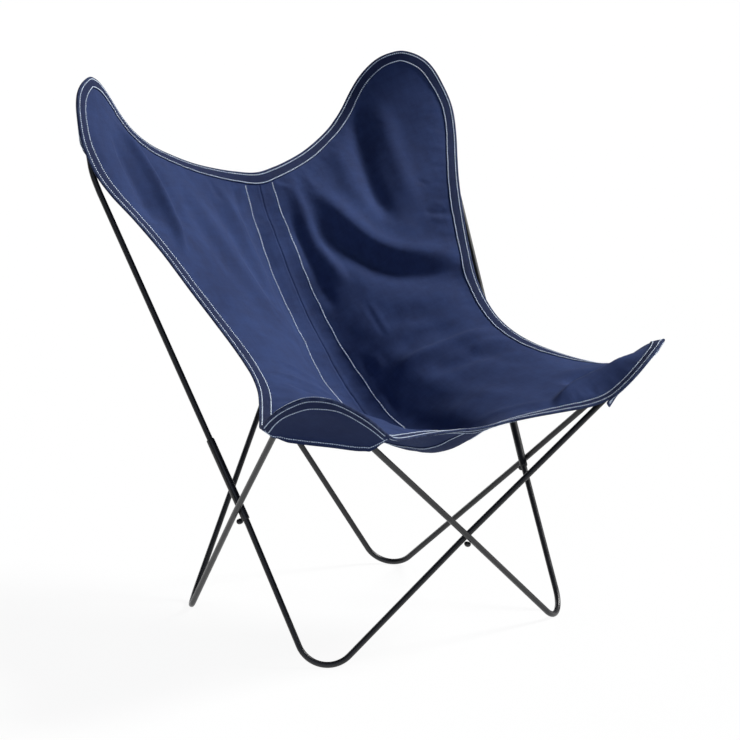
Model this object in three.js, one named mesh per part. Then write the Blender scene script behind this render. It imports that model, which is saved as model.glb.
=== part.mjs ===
import * as THREE from 'three';

// Butterfly sling chair: two bent base rods, two plug-in ear loops and a
// fabric sling hung on four rounded tips.
// Millimetres. +Z up, the front of the seat faces -Y, the floor is Z = 0.

// ---- rod frame -------------------------------------------------------------
const ROD_R = 5.0;              // solid round rod
const SLEEVE_R = 6.8;           // socket tubes
const SLEEVE_BORE_R = 5.45;
const SIDE_SLEEVE_UP = 128;     // length of a side socket above the crossing
const SIDE_SLEEVE_DOWN = 17;    // and below it
const REAR_SLEEVE_FROM = 26;    // rear sockets start this far above the rear crossing
const REAR_SLEEVE_LEN = 118;
const PLUG_DEPTH = 70;          // how far a loop leg reaches into its socket
const BUTT_GAP = 1.0;           // between the two rod ends inside a socket
const ROD_SIDES = 10;

const FRONT_FOOT = [266.7, -224.5, -28.5];   // corner points before rounding, right side
const REAR_FOOT = [220.3, 224.6, -26.9];
const KNEE = [397.9, -367.1, 521.8];
const FRONT_FOOT_R = 50;
const REAR_FOOT_R = 47;
const KNEE_R = 45;
const CROSSING_R = 160;         // easy bend where two rods pass each other
const FRONT_CROSS = [0, -281.3, 192.6];
const REAR_CROSS = [0, 284, 331];
const SIDE_CROSS = [304.9, -62.4, 239.7];
const SIDE_NORMAL = [0.974, 0.1075, -0.199];
const FRONT_PASS = 5.4;         // half the spacing of the rods at the front crossing
const REAR_PASS = 5.35;
const SIDE_PASS_IN = 6.1;       // socketed rod goes inside
const SIDE_PASS_OUT = 6.2;      // seat rod goes outside

// ear loop, right side, from the side socket over the tip to the rear socket
const LOOP_POINTS = [
  [371.7, 236.3, 735], [375.3, 252.8, 768], [374.5, 263.0, 795], [372.5, 273.5, 820], [368.0, 286.0, 844],
  [360.5, 300.2, 864.6], [348.0, 313.1, 880.6], [331.4, 325.8, 887.2], [314.0, 337.2, 882.4], [298.0, 344.1, 868.4],
  [284.5, 347.5, 850], [275.5, 349.0, 827], [268.0, 347.5, 801], [260.5, 345.5, 773], [250.0, 343.0, 745],
];
const LOOP_SPAN_STEPS = 2;      // stations between two loop points
const WELD_R = 4.2;
const FRONT_WELD_AT = 12;       // welds sit this far below their crossings
const REAR_WELD_AT = 17;
const SIDE_WELD_AT = 19;
const SIDE_NOTCH = [-0.212, 0.1296, -0.9686];

// ---- sling -----------------------------------------------------------------
const CLOTH_T = 1.4;            // canvas panels
const SEAM_GAP = 0.25;          // panel edge to the middle line
const BAND_HALF = 33;           // reinforcing band under the middle seam
const BAND_T = 1.0;
const BAND_AT = 1.6;            // middle of the band below the middle of the cloth
const EDGE_GAP = 0.5;           // panel edge inside the binding
const BIND_W = 20.6;             // folded edge tape
const BIND_IN = 1.05;
const BIND_OUT = 1.85;
const BIND_LIP = 1.0;
const STRIP_W = 21;             // border strip of the panel mesh
const STITCH_R = 0.45;          // thread rows
const STITCH_OUTER = 4.2;
const STITCH_INNER = 18.6;
const STITCH_GAP = 0.35;
const CENTRE_STITCH = 31;
const HEM_AT = 5;               // pocket hem row, from the opening
const POCKET_T = 1.2;
const POCKET_AT = 3.8;          // pocket cloth below the sling where no rod lies between
const POCKET_CLEAR = 7.9;       // pocket cloth below a rod's axis
const EAR_POCKET = [-205, 168]; // pocket ends along the edge, from the ear tip
const KNEE_POCKET = [-140, 172];// pocket ends along the edge, from the knee tip
const KNEE_OPENING = [[161, 68], [201, -85]]; // where its straight opening passes the two legs: from the corner down, and across
const KNEE_WRAP_R = 7.5;        // pocket cloth from the rod's axis

// Each row: across and along the flat cloth, then the x, y, z it is held at.
const TOP_EDGE = [
  [0, 0, 0, 313, 722], [43.9, -7.2, 40.7, 319.2, 728.3], [85.6, -18.6, 80.4, 326.7, 738.1],
  [125.7, -32.8, 119.3, 335, 750.5], [163.5, -50.4, 156.6, 344, 766.6], [198.9, -71.3, 192, 353.9, 786],
  [231.4, -96, 222.7, 362.6, 812.7], [262.8, -122, 247.9, 366.9, 845.4], [288.5, -138.6, 266, 364.2, 870.7],
  [316.7, -150.5, 286.1, 356.4, 893.2], [336.7, -154.8, 301, 348.4, 905.3], [357.2, -154.2, 316.8, 337.5, 913.2],
  [377.4, -149.6, 333, 325, 917],
];
const SIDE_EDGE = [
  [395.3, -132.6, 351.6, 311.3, 908.4], [409.4, -112.6, 367.9, 298.3, 895.3], [418.2, -89.8, 379.8, 286, 877.7],
  [422.5, -65.9, 387.5, 274, 857.6], [423.5, -41.6, 391.7, 262.4, 836.2], [421.3, -17.4, 392.6, 251.5, 814.2],
  [407.9, 29.4, 383.9, 230.3, 770.6], [388.2, 74.1, 366.4, 204.9, 732.2], [367.9, 118.7, 346.2, 175.4, 698.3],
  [342.7, 188.3, 320.4, 130.4, 645.6], [321.7, 260.6, 298.9, 85.9, 590.5], [303.5, 336.5, 280.2, 37.7, 537.6],
  [295.6, 415.3, 272.4, -19.4, 491.6], [300.2, 466.9, 277.7, -61.9, 467.3], [315.4, 515.5, 294.1, -104.5, 449],
  [339.9, 558.9, 319.1, -144.7, 435.3], [368.3, 597.6, 346.7, -184.3, 425.1], [399.1, 633, 374.6, -224.3, 421.1],
  [410.8, 653.1, 385.4, -244.5, 430.1], [420.7, 674.7, 393, -263.8, 443.5], [428.5, 697.5, 397.1, -283.6, 457.5],
  [430.9, 721.7, 395.3, -304.3, 470.5], [425.4, 745.5, 386.1, -324.9, 480.3],
];
const FRONT_EDGE = [
  [414.4, 767.5, 372, -344, 487], [399.3, 781.6, 355.6, -356.8, 487.5], [382.3, 792.5, 338.6, -368, 483.8],
  [362.9, 797.7, 320.8, -374.5, 475.4], [343.1, 800.4, 303.4, -378.6, 464.8], [313.4, 802.4, 277.8, -381.5, 447.4],
  [283.6, 799.9, 253.2, -378.5, 428.4], [254.3, 794.6, 228.7, -371.3, 410.8], [225.5, 785.2, 201.7, -359.7, 400.6],
  [186.1, 773.9, 163.1, -345.2, 395.3], [143.9, 767, 123.2, -333.8, 392.2], [98.7, 763.9, 82.6, -325.5, 389.2],
  [50.4, 763.2, 41.5, -320.2, 386.1], [0, 764, 0, -319, 384],
];
const SEAM_LINE = [
  [0, 62, 0, 286.1, 666.4], [0, 123.7, 0, 252, 614.4], [0, 184.5, 0, 216.1, 563.6],
  [0, 244.2, 0, 179.1, 513.6], [0, 302.3, 0, 136.9, 468.1], [0, 359.7, 0, 88.9, 428.6],
  [0, 416.9, 0, 39.4, 391], [0, 473, 0, -12.1, 356.3], [0, 525.9, 0, -68.5, 330.5],
  [0, 574.6, 0, -128.9, 315.9], [0, 626.8, 0, -190.7, 318.1], [0, 663.7, 0, -229.9, 331.3],
  [0, 702.8, 0, -266.1, 351.4], [0, 743.8, 0, -301.1, 373.6],
];
const SHEET_INNER = [
  [78.2, 93.8, 73.4, 253.9, 652], [165.2, 64, 155.5, 257.8, 691], [242.5, 38, 227.8, 259, 727.4],
  [321.3, 12.7, 300.3, 256, 766.2], [78.1, 212.8, 70.7, 174.8, 561.6], [165.6, 180.2, 152.6, 175.9, 609.3],
  [241.2, 153.9, 224.5, 177.5, 646.6], [309.8, 132.3, 290.1, 177.5, 677.3], [80, 325.3, 69.9, 90.9, 483.6],
  [165.6, 292.5, 149, 94.1, 534.2], [234.8, 270.9, 214.9, 95.4, 567], [287.6, 258.1, 266, 94.1, 586.7],
  [84.6, 438.9, 72.1, -6.5, 419.2], [167.5, 416.9, 148, -6, 464.3], [228.7, 407.7, 206.6, -8.4, 486.3],
  [272.2, 408.8, 249.1, -13.6, 493.4], [89.6, 589, 75.8, -151.6, 373], [175.9, 594.1, 156.2, -167.5, 409.1],
  [240.3, 592.2, 218.8, -172.5, 425.9], [298.8, 576.6, 277.5, -161.3, 434.8], [89.4, 701.9, 77.8, -264, 376.8],
  [181.1, 709.9, 161.4, -281, 399.8], [256.3, 715.3, 231.5, -292.9, 419], [336.7, 708.6, 307.6, -290.5, 440.8],
  [384.7, -90.1, 350, 296.8, 867.3], [313.6, -67.7, 290.1, 309.4, 825.3], [391.6, -6.9, 365.2, 251.8, 798.6],
  [379.2, 642.9, 354.7, -230.8, 428.1], [351, 768.3, 313.1, -347.3, 463], [382.5, 766, 341.4, -342.6, 478.3],
  [400, 755, 358.9, -330.9, 481], [407.7, 743.5, 367.6, -320.7, 479.2], [410.5, 730.5, 372.9, -308.8, 474.6],
  [409.8, 714.8, 375.7, -295.5, 466.3], [404.5, 699, 373.6, -282.1, 455.9],
];

// ---- small helpers ---------------------------------------------------------
const V = (a) => new THREE.Vector3(a[0], a[1], a[2]);
const mirrored = (v) => new THREE.Vector3(-v.x, v.y, v.z);

const SATIN_BLACK = new THREE.MeshStandardMaterial({ color: 0x17181a, roughness: 0.42, metalness: 0.35 });
const NAVY_CANVAS = new THREE.MeshStandardMaterial({ color: 0x1c2850, roughness: 0.92, metalness: 0.0 });
const NAVY_TAPE = new THREE.MeshStandardMaterial({ color: 0x171f42, roughness: 0.9, metalness: 0.0 });
const WHITE_THREAD = new THREE.MeshStandardMaterial({ color: 0xe4e6ec, roughness: 0.8, metalness: 0.0 });

const chair = new THREE.Group();
chair.name = 'butterfly_sling_chair';
const add = (name, geometry, material) => {
  const mesh = new THREE.Mesh(geometry, material);
  mesh.name = name;
  chair.add(mesh);
};

// ---- sling surface: a thin plate bent through the held points --------------
class Sheet {
  constructor(rows) {
    this.c = [];
    const held = [];
    for (const [p, q, x, y, z] of rows) {
      this.c.push([p / 300, q / 300]);
      held.push([x, y, z]);
      if (p > 0.01) {
        this.c.push([-p / 300, q / 300]);
        held.push([-x, y, z]);
      }
    }
    const n = this.c.length;
    const size = n + 3;
    const a = [];
    for (let i = 0; i < size; i++) {
      const row = new Float64Array(size + 3);
      if (i < n) {
        for (let j = 0; j < n; j++) row[j] = Sheet.kernel(this.c[i], this.c[j]);
        row[n] = 1;
        row[n + 1] = this.c[i][0];
        row[n + 2] = this.c[i][1];
        for (let k = 0; k < 3; k++) row[size + k] = held[i][k];
      } else {
        for (let j = 0; j < n; j++) row[j] = i === n ? 1 : this.c[j][i - n - 1];
      }
      a.push(row);
    }
    for (let col = 0; col < size; col++) {
      let best = col;
      for (let r = col + 1; r < size; r++) if (Math.abs(a[r][col]) > Math.abs(a[best][col])) best = r;
      [a[col], a[best]] = [a[best], a[col]];
      for (let r = col + 1; r < size; r++) {
        const f = a[r][col] / a[col][col];
        if (f === 0) continue;
        for (let k = col; k < size + 3; k++) a[r][k] -= f * a[col][k];
      }
    }
    this.w = Array.from({ length: size }, () => [0, 0, 0]);
    for (let r = size - 1; r >= 0; r--) {
      for (let k = 0; k < 3; k++) {
        let s = a[r][size + k];
        for (let j = r + 1; j < size; j++) s -= a[r][j] * this.w[j][k];
        this.w[r][k] = s / a[r][r];
      }
    }
    this.n = n;
  }

  static kernel(a, b) {
    const d = (a[0] - b[0]) ** 2 + (a[1] - b[1]) ** 2;
    return d > 1e-12 ? d * Math.log(d) : 0;
  }

  at(p, q) {
    const u = [p / 300, q / 300];
    const out = [0, 0, 0];
    for (let k = 0; k < 3; k++) out[k] = this.w[this.n][k] + u[0] * this.w[this.n + 1][k] + u[1] * this.w[this.n + 2][k];
    for (let i = 0; i < this.n; i++) {
      const f = Sheet.kernel(u, this.c[i]);
      for (let k = 0; k < 3; k++) out[k] += f * this.w[i][k];
    }
    return V(out);
  }

  // unit normal towards the underside
  normal(p, q) {
    const a = this.at(p + 1, q).sub(this.at(p - 1, q));
    const b = this.at(p, q + 1).sub(this.at(p, q - 1));
    return a.cross(b).normalize();
  }

  lift(p, q, h) {
    return this.at(p, q).addScaledVector(this.normal(p, q), h);
  }
}
const sheet = new Sheet([...TOP_EDGE, ...SIDE_EDGE, ...FRONT_EDGE, ...SEAM_LINE, ...SHEET_INNER]);

// ---- the edge of the flat cloth, right half, from the middle of the back ---
const outlineRows = [...TOP_EDGE, ...SIDE_EDGE, ...FRONT_EDGE].map((r) => new THREE.Vector3(r[0], r[1], 0));
const first = outlineRows[1];
const last = outlineRows[outlineRows.length - 2];
const outline = new THREE.CatmullRomCurve3(
  [new THREE.Vector3(-first.x, first.y, 0), ...outlineRows, new THREE.Vector3(-last.x, last.y, 0)], false, 'centripetal');
outline.arcLengthDivisions = 1600;
const outlineLength = outline.getLength();
const lengths = outline.getLengths();
const span = outlineRows.length + 1;
const lengthAt = (index) => lengths[Math.round(((index + 1) / span) * 1600)];
const S_START = lengthAt(0);
const S_EAR = lengthAt(TOP_EDGE.length - 1);
const S_KNEE = lengthAt(TOP_EDGE.length + SIDE_EDGE.length);
const S_END = lengthAt(outlineRows.length - 1);

// a point w inside the edge at length s
const inset = (s, w) => {
  const u = s / outlineLength;
  const o = outline.getPointAt(u);
  const t = outline.getTangentAt(u);
  return [o.x - t.y * w, o.y + t.x * w];
};
const edgeNormalSign = (() => {
  const [x] = inset((S_EAR + S_KNEE) / 2, 20);
  return x < outline.getPointAt((S_EAR + S_KNEE) / 2 / outlineLength).x ? 1 : -1;
})();
const inside = (s, w) => inset(s, w * edgeNormalSign);

// stations round the edge: back edge, side edge, front edge
const END_STEPS = [0.0, 0.085, 0.19, 0.3, 0.41, 0.515, 0.615, 0.705, 0.785, 0.85, 0.905, 0.955, 1.0];
const SIDE_STEPS = [0, 20, 42, 68, 100, 138, 182, 230, 280, 332, 384, 436, 488, 540, 590, 638, 684, 726,
  764, 798, 828, 856, 884, 910, 936, 962, 987].map((d) => d / 987);
const COLS = END_STEPS.length - 1;
const ROWS = SIDE_STEPS.length - 1;
const topS = END_STEPS.map((f) => S_START + f * (S_EAR - S_START));
const sideS = SIDE_STEPS.map((f) => S_EAR + f * (S_KNEE - S_EAR));
const frontS = END_STEPS.map((f) => S_END - f * (S_END - S_KNEE));
const stations = [...topS, ...sideS.slice(1), ...frontS.slice(0, -1).reverse()];

// a point w inside the edge; the first and last stations stay beside the seam
const edgePoint = (k, w, middle = 0) => {
  if (k === 0) return [middle, inside(S_START, w)[1]];
  if (k === stations.length - 1) return [middle, inside(S_END, w)[1]];
  return inside(stations[k], w);
};

// grid of the panel inside its border strip
const grid = [];
{
  const top = topS.map((s, j) => edgePoint(j, STRIP_W, SEAM_GAP));
  const front = frontS.map((s, j) => edgePoint(stations.length - 1 - j, STRIP_W, SEAM_GAP));
  const side = sideS.map((s, i) => edgePoint(COLS + i, STRIP_W));
  const f1 = END_STEPS[1];
  for (let i = 0; i <= ROWS; i++) {
    const v = i / ROWS;
    const row = [];
    const seam = [top[1][0] * (1 - v) + front[1][0] * v, top[1][1] * (1 - v) + front[1][1] * v];
    for (let j = 0; j <= COLS; j++) {
      if (j === 0) {
        row.push(i === 0 ? top[0] : i === ROWS ? front[0] : [SEAM_GAP, seam[1]]);
        continue;
      }
      const u = (END_STEPS[j] - f1) / (1 - f1);
      const c = (k) => (1 - v) * top[j][k] + v * front[j][k] + (1 - u) * seam[k] + u * side[i][k]
        - ((1 - u) * (1 - v) * top[1][k] + u * (1 - v) * top[COLS][k] + (1 - u) * v * front[1][k] + u * v * front[COLS][k]);
      row.push([c(0), c(1)]);
    }
    grid.push(row);
  }
  for (let pass = 0; pass < 80; pass++) {
    for (let i = 1; i < ROWS; i++) {
      for (let j = 2; j < COLS; j++) {
        for (let k = 0; k < 2; k++) {
          const mean = (grid[i - 1][j][k] + grid[i + 1][j][k] + grid[i][j - 1][k] + grid[i][j + 1][k]) / 4;
          grid[i][j][k] += 0.5 * (mean - grid[i][j][k]);
        }
      }
    }
  }
}

// ---- solids ----------------------------------------------------------------
const closedGeometry = (points, triangles, flip) => {
  const g = new THREE.BufferGeometry();
  g.setAttribute('position', new THREE.Float32BufferAttribute(points.flatMap((p) => [p.x, p.y, p.z]), 3));
  g.setIndex(triangles.flatMap((t) => (flip ? [t[0], t[2], t[1]] : t)));
  g.computeVertexNormals();
  return g;
};

// faces of a patch given as flat points and triangles, thickened between two heights
const thicken = (flat, triangles, low, high, side) => {
  const n = flat.length;
  const at = (f, h) => {
    const p = sheet.lift(f[0], f[1], h);
    return side < 0 ? mirrored(p) : p;
  };
  const heights = (h, i) => (typeof h === 'function' ? h(i) : h);
  const points = [...flat.map((f, i) => at(f, heights(low, i))), ...flat.map((f, i) => at(f, heights(high, i)))];
  const out = [];
  const edges = new Map();
  for (const [a, b, c] of triangles) {
    out.push([a, c, b], [a + n, b + n, c + n]);
    for (const [s, e] of [[a, b], [b, c], [c, a]]) {
      const back = `${e}_${s}`;
      if (edges.has(back)) edges.delete(back);
      else edges.set(`${s}_${e}`, [s, e]);
    }
  }
  for (const [s, e] of edges.values()) out.push([s, e, e + n], [s, e + n, s + n]);
  return closedGeometry(points, out, side < 0);
};

// quads of a point grid as triangles, split along the shorter diagonal
const quads = (cells, flat) => {
  const out = [];
  const d = (a, b) => Math.hypot(flat[a][0] - flat[b][0], flat[a][1] - flat[b][1]);
  for (const [a, b, c, e] of cells) {
    if (d(a, c) <= d(b, e)) out.push([a, b, c], [a, c, e]);
    else out.push([a, b, e], [b, c, e]);
  }
  return out;
};

// a profile (distance inside the edge, height) swept along the edge stations
const sweepEdge = (profile, side, from = 0, to = stations.length - 1) => {
  const rings = [];
  for (let k = from; k <= to; k++) {
    rings.push(profile.map(([w, h]) => {
      const f = edgePoint(k, w, SEAM_GAP);
      const p = sheet.lift(f[0], f[1], h);
      return side < 0 ? mirrored(p) : p;
    }));
  }
  const m = profile.length;
  const points = rings.flat();
  const out = [];
  for (let r = 0; r < rings.length - 1; r++) {
    for (let k = 0; k < m; k++) {
      const a = r * m + k;
      const b = r * m + ((k + 1) % m);
      if (profile[(k + 1) % m][0] >= profile[k][0]) out.push([a, b, b + m], [a, b + m, a + m]);
      else out.push([a, b, a + m], [b, b + m, a + m]);
    }
  }
  const caps = THREE.ShapeUtils.triangulateShape(profile.map(([w, h]) => new THREE.Vector2(w, h)), []);
  const lastRing = (rings.length - 1) * m;
  for (const [a, b, c] of caps) out.push([a, c, b], [lastRing + a, lastRing + b, lastRing + c]);
  return closedGeometry(points, out, side < 0);
};

const volumeOf = (g) => {
  const p = g.attributes.position;
  const ix = g.index;
  const a = new THREE.Vector3(); const b = new THREE.Vector3(); const c = new THREE.Vector3();
  let v = 0;
  for (let i = 0; i < ix.count; i += 3) {
    a.fromBufferAttribute(p, ix.getX(i)); b.fromBufferAttribute(p, ix.getX(i + 1)); c.fromBufferAttribute(p, ix.getX(i + 2));
    v += a.dot(b.clone().cross(c)) / 6;
  }
  return v;
};
const outward = (g) => {
  if (volumeOf(g) < 0) {
    const ix = g.index;
    for (let i = 0; i < ix.count; i += 3) {
      const t = ix.getX(i + 1);
      ix.setX(i + 1, ix.getX(i + 2));
      ix.setX(i + 2, t);
    }
    g.computeVertexNormals();
  }
  return g;
};

// ---- rods ------------------------------------------------------------------
// A path through stations of unequal spacing, so that straights cost nothing.
class RodPath extends THREE.Curve {
  constructor(points) {
    super();
    this.points = points;
    this.steps = points.length - 1;
  }

  getPoint(t, target = new THREE.Vector3()) {
    const x = Math.min(Math.max(t, 0), 1) * this.steps;
    const i = Math.min(Math.floor(x), this.steps - 1);
    return target.copy(this.points[i]).lerp(this.points[i + 1], x - i);
  }

  getTangent(t, target = new THREE.Vector3()) {
    const i = Math.round(Math.min(Math.max(t, 0), 1) * this.steps);
    const before = this.points[Math.max(i, 1)].clone().sub(this.points[Math.max(i, 1) - 1]).normalize();
    const after = this.points[Math.min(i, this.steps - 1) + 1].clone().sub(this.points[Math.min(i, this.steps - 1)]).normalize();
    return target.copy(before).add(after).normalize();
  }

  getUtoTmapping(u) { return u; }

  getPointAt(u, target) { return this.getPoint(u, target); }

  getTangentAt(u, target) { return this.getTangent(u, target); }

  getSpacedPoints(n) {
    return Array.from({ length: n + 1 }, (_, i) => this.getPoint(i / n));
  }
}

const circle = (r, n = ROD_SIDES) => {
  const s = new THREE.Shape();
  const pts = [];
  for (let i = 0; i < n; i++) pts.push(new THREE.Vector2(r * Math.cos((2 * Math.PI * i) / n), r * Math.sin((2 * Math.PI * i) / n)));
  s.setFromPoints(pts);
  return s;
};

const rod = (points, r = ROD_R) => {
  const path = new RodPath(points);
  return new THREE.ExtrudeGeometry(circle(r), { steps: path.steps, bevelEnabled: false, extrudePath: path, curveSegments: ROD_SIDES });
};

// straight runs joined by arcs: corners are [point, radius, arc steps]
const bent = (corners) => {
  const out = [corners[0][0].clone()];
  for (let i = 1; i < corners.length - 1; i++) {
    const [v, r, steps] = corners[i];
    const a = corners[i - 1][0].clone().sub(v).normalize();
    const b = corners[i + 1][0].clone().sub(v).normalize();
    const half = Math.acos(THREE.MathUtils.clamp(a.dot(b), -1, 1)) / 2;
    if (Math.PI / 2 - half < 0.002) { out.push(v.clone()); continue; }
    const centre = v.clone().addScaledVector(a.clone().add(b).normalize(), r / Math.sin(half));
    const p0 = v.clone().addScaledVector(a, r / Math.tan(half));
    const p1 = v.clone().addScaledVector(b, r / Math.tan(half));
    const e0 = p0.clone().sub(centre);
    const e1 = p1.clone().sub(centre);
    const turn = Math.PI - 2 * half;
    for (let k = 0; k <= steps; k++) {
      const f = k / steps;
      out.push(centre.clone()
        .addScaledVector(e0, Math.sin((1 - f) * turn) / Math.sin(turn))
        .addScaledVector(e1, Math.sin(f * turn) / Math.sin(turn)));
    }
  }
  out.push(corners[corners.length - 1][0].clone());
  return out;
};

const along = (a, b, d) => a.clone().addScaledVector(b.clone().sub(a).normalize(), d);
const flipX = (a, s) => new THREE.Vector3(a[0] * s, a[1], a[2]);

// Everything that belongs to the rod that starts in the socket on side s:
// side socket, front foot s, front crossing, knee -s, rear foot -s, rear crossing, rear socket s.
const frameSide = (s) => {
  const sideIn = flipX(SIDE_CROSS, s).addScaledVector(flipX(SIDE_NORMAL, s), -SIDE_PASS_IN);
  const sideOut = flipX(SIDE_CROSS, -s).addScaledVector(flipX(SIDE_NORMAL, -s), SIDE_PASS_OUT);
  const frontPass = V(FRONT_CROSS).add(new THREE.Vector3(0, s < 0 ? FRONT_PASS : -FRONT_PASS, 0));
  const rearPass = V(REAR_CROSS).add(new THREE.Vector3(0, s < 0 ? -REAR_PASS : REAR_PASS, 0));
  const loop = LOOP_POINTS.map((p) => flipX(p, s));
  const frontFoot = flipX(FRONT_FOOT, s);
  const rearFoot = flipX(REAR_FOOT, -s);
  const knee = flipX(KNEE, -s);
  const lowest = (a, v, b, r) => Math.min(...bent([[a], [v, r, 48], [b]]).map((p) => p.z));
  for (let k = 0; k < 4; k++) {
    frontFoot.z += ROD_R - lowest(sideIn, frontFoot, frontPass, FRONT_FOOT_R);
    rearFoot.z += ROD_R - lowest(sideOut, rearFoot, rearPass, REAR_FOOT_R);
  }
  const sideTop = loop[0];
  const rearTop = loop[loop.length - 1];
  const sideBend = along(sideIn, sideTop, -SIDE_SLEEVE_DOWN - 8);
  const sideJoint = along(sideIn, sideTop, SIDE_SLEEVE_UP - PLUG_DEPTH);
  const rearJoint = along(rearPass, rearTop, REAR_SLEEVE_FROM + REAR_SLEEVE_LEN - PLUG_DEPTH);
  const base = bent([
    [along(sideJoint, sideIn, BUTT_GAP / 2)],
    [sideBend, CROSSING_R, 2],
    [frontFoot, FRONT_FOOT_R, 11],
    [frontPass, CROSSING_R, 2],
    [knee, KNEE_R, 10],
    [sideOut, CROSSING_R, 2],
    [rearFoot, REAR_FOOT_R, 11],
    [rearPass, CROSSING_R, 2],
    [along(rearJoint, rearPass, BUTT_GAP / 2)],
  ]);
  const curve = new THREE.CatmullRomCurve3([sideIn, ...loop, rearPass], false, 'centripetal');
  const bend = [];
  const spans = loop.length + 1;
  for (let k = 1; k < loop.length; k++) {
    for (let j = 0; j < LOOP_SPAN_STEPS; j++) bend.push(curve.getPoint((k + j / LOOP_SPAN_STEPS) / spans));
  }
  bend.push(curve.getPoint(loop.length / spans));
  const ear = [along(sideJoint, sideTop, BUTT_GAP / 2), ...bend, along(rearJoint, rearTop, BUTT_GAP / 2)];
  return { sideIn, sideOut, frontPass, rearPass, sideTop, rearTop, sideJoint, rearJoint, base, ear };
};

const tube = (a, b, outer, inner) => {
  const s = circle(outer, 16);
  const hole = new THREE.Path();
  const pts = [];
  for (let i = 0; i < 16; i++) pts.push(new THREE.Vector2(inner * Math.cos((2 * Math.PI * i) / 16), inner * Math.sin((2 * Math.PI * i) / 16)));
  hole.setFromPoints(pts);
  s.holes.push(hole);
  const length = a.distanceTo(b);
  const g = new THREE.ExtrudeGeometry(s, { depth: length, steps: 1, bevelEnabled: false, curveSegments: 16 });
  const q = new THREE.Quaternion().setFromUnitVectors(new THREE.Vector3(0, 0, 1), b.clone().sub(a).normalize());
  g.applyQuaternion(q);
  g.translate(a.x, a.y, a.z);
  return g;
};

const bead = (centre, axis, r, half) => {
  const g = new THREE.SphereGeometry(r, 12, 8);
  g.scale(1, 1, half / r);
  g.applyQuaternion(new THREE.Quaternion().setFromUnitVectors(new THREE.Vector3(0, 0, 1), axis.clone().normalize()));
  g.translate(centre.x, centre.y, centre.z);
  return g;
};

const left = frameSide(-1);
const right = frameSide(1);
add('base_rod_left', rod(left.base), SATIN_BLACK);
add('base_rod_right', rod(right.base), SATIN_BLACK);
add('ear_loop_left', rod(left.ear), SATIN_BLACK);
add('ear_loop_right', rod(right.ear), SATIN_BLACK);
for (const [name, f] of [['left', left], ['right', right]]) {
  add(`side_socket_${name}`, tube(along(f.sideIn, f.sideTop, -SIDE_SLEEVE_DOWN), along(f.sideIn, f.sideTop, SIDE_SLEEVE_UP), SLEEVE_R, SLEEVE_BORE_R), SATIN_BLACK);
  add(`rear_socket_${name}`, tube(along(f.rearPass, f.rearTop, REAR_SLEEVE_FROM), along(f.rearPass, f.rearTop, REAR_SLEEVE_FROM + REAR_SLEEVE_LEN), SLEEVE_R, SLEEVE_BORE_R), SATIN_BLACK);
}

// weld beads in the lower notch of each crossing
add('front_crossing_weld', bead(new THREE.Vector3(0, FRONT_CROSS[1], FRONT_CROSS[2] - FRONT_WELD_AT), new THREE.Vector3(0, 1, 0), WELD_R, 5.5), SATIN_BLACK);
add('rear_crossing_weld', bead(new THREE.Vector3(0, REAR_CROSS[1], REAR_CROSS[2] - REAR_WELD_AT), new THREE.Vector3(0, 1, 0), WELD_R, 5.5), SATIN_BLACK);
for (const s of [-1, 1]) {
  const c = flipX(SIDE_CROSS, s).addScaledVector(flipX(SIDE_NOTCH, s), SIDE_WELD_AT);
  add(s < 0 ? 'left_crossing_weld' : 'right_crossing_weld', bead(c, flipX(SIDE_NORMAL, s), WELD_R, 5.2), SATIN_BLACK);
}

// ---- sling pieces ----------------------------------------------------------
const panel = (side) => {
  const flat = grid.flat();
  const id = (i, j) => i * (COLS + 1) + j;
  const cells = [];
  for (let i = 0; i < ROWS; i++) for (let j = 0; j < COLS; j++) cells.push([id(i, j), id(i, j + 1), id(i + 1, j + 1), id(i + 1, j)]);
  const inner = [];
  for (let j = 0; j <= COLS; j++) inner.push(id(0, j));
  for (let i = 1; i <= ROWS; i++) inner.push(id(i, COLS));
  for (let j = COLS - 1; j >= 0; j--) inner.push(id(ROWS, j));
  const start = flat.length;
  const faces = quads(cells, flat);
  stations.forEach((s, k) => flat.push(edgePoint(k, EDGE_GAP, SEAM_GAP)));
  for (let k = 0; k < stations.length - 1; k++) {
    faces.push([start + k, start + k + 1, inner[k + 1]], [start + k, inner[k + 1], inner[k]]);
  }
  return outward(thicken(flat, faces, -CLOTH_T / 2, CLOTH_T / 2, side));
};

const BINDING = [
  [-BIND_LIP, -BIND_OUT], [BIND_W, -BIND_OUT], [BIND_W, -BIND_IN], [0.05, -BIND_IN],
  [0.05, BIND_IN], [BIND_W, BIND_IN], [BIND_W, BIND_OUT], [-BIND_LIP, BIND_OUT],
];
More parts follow.
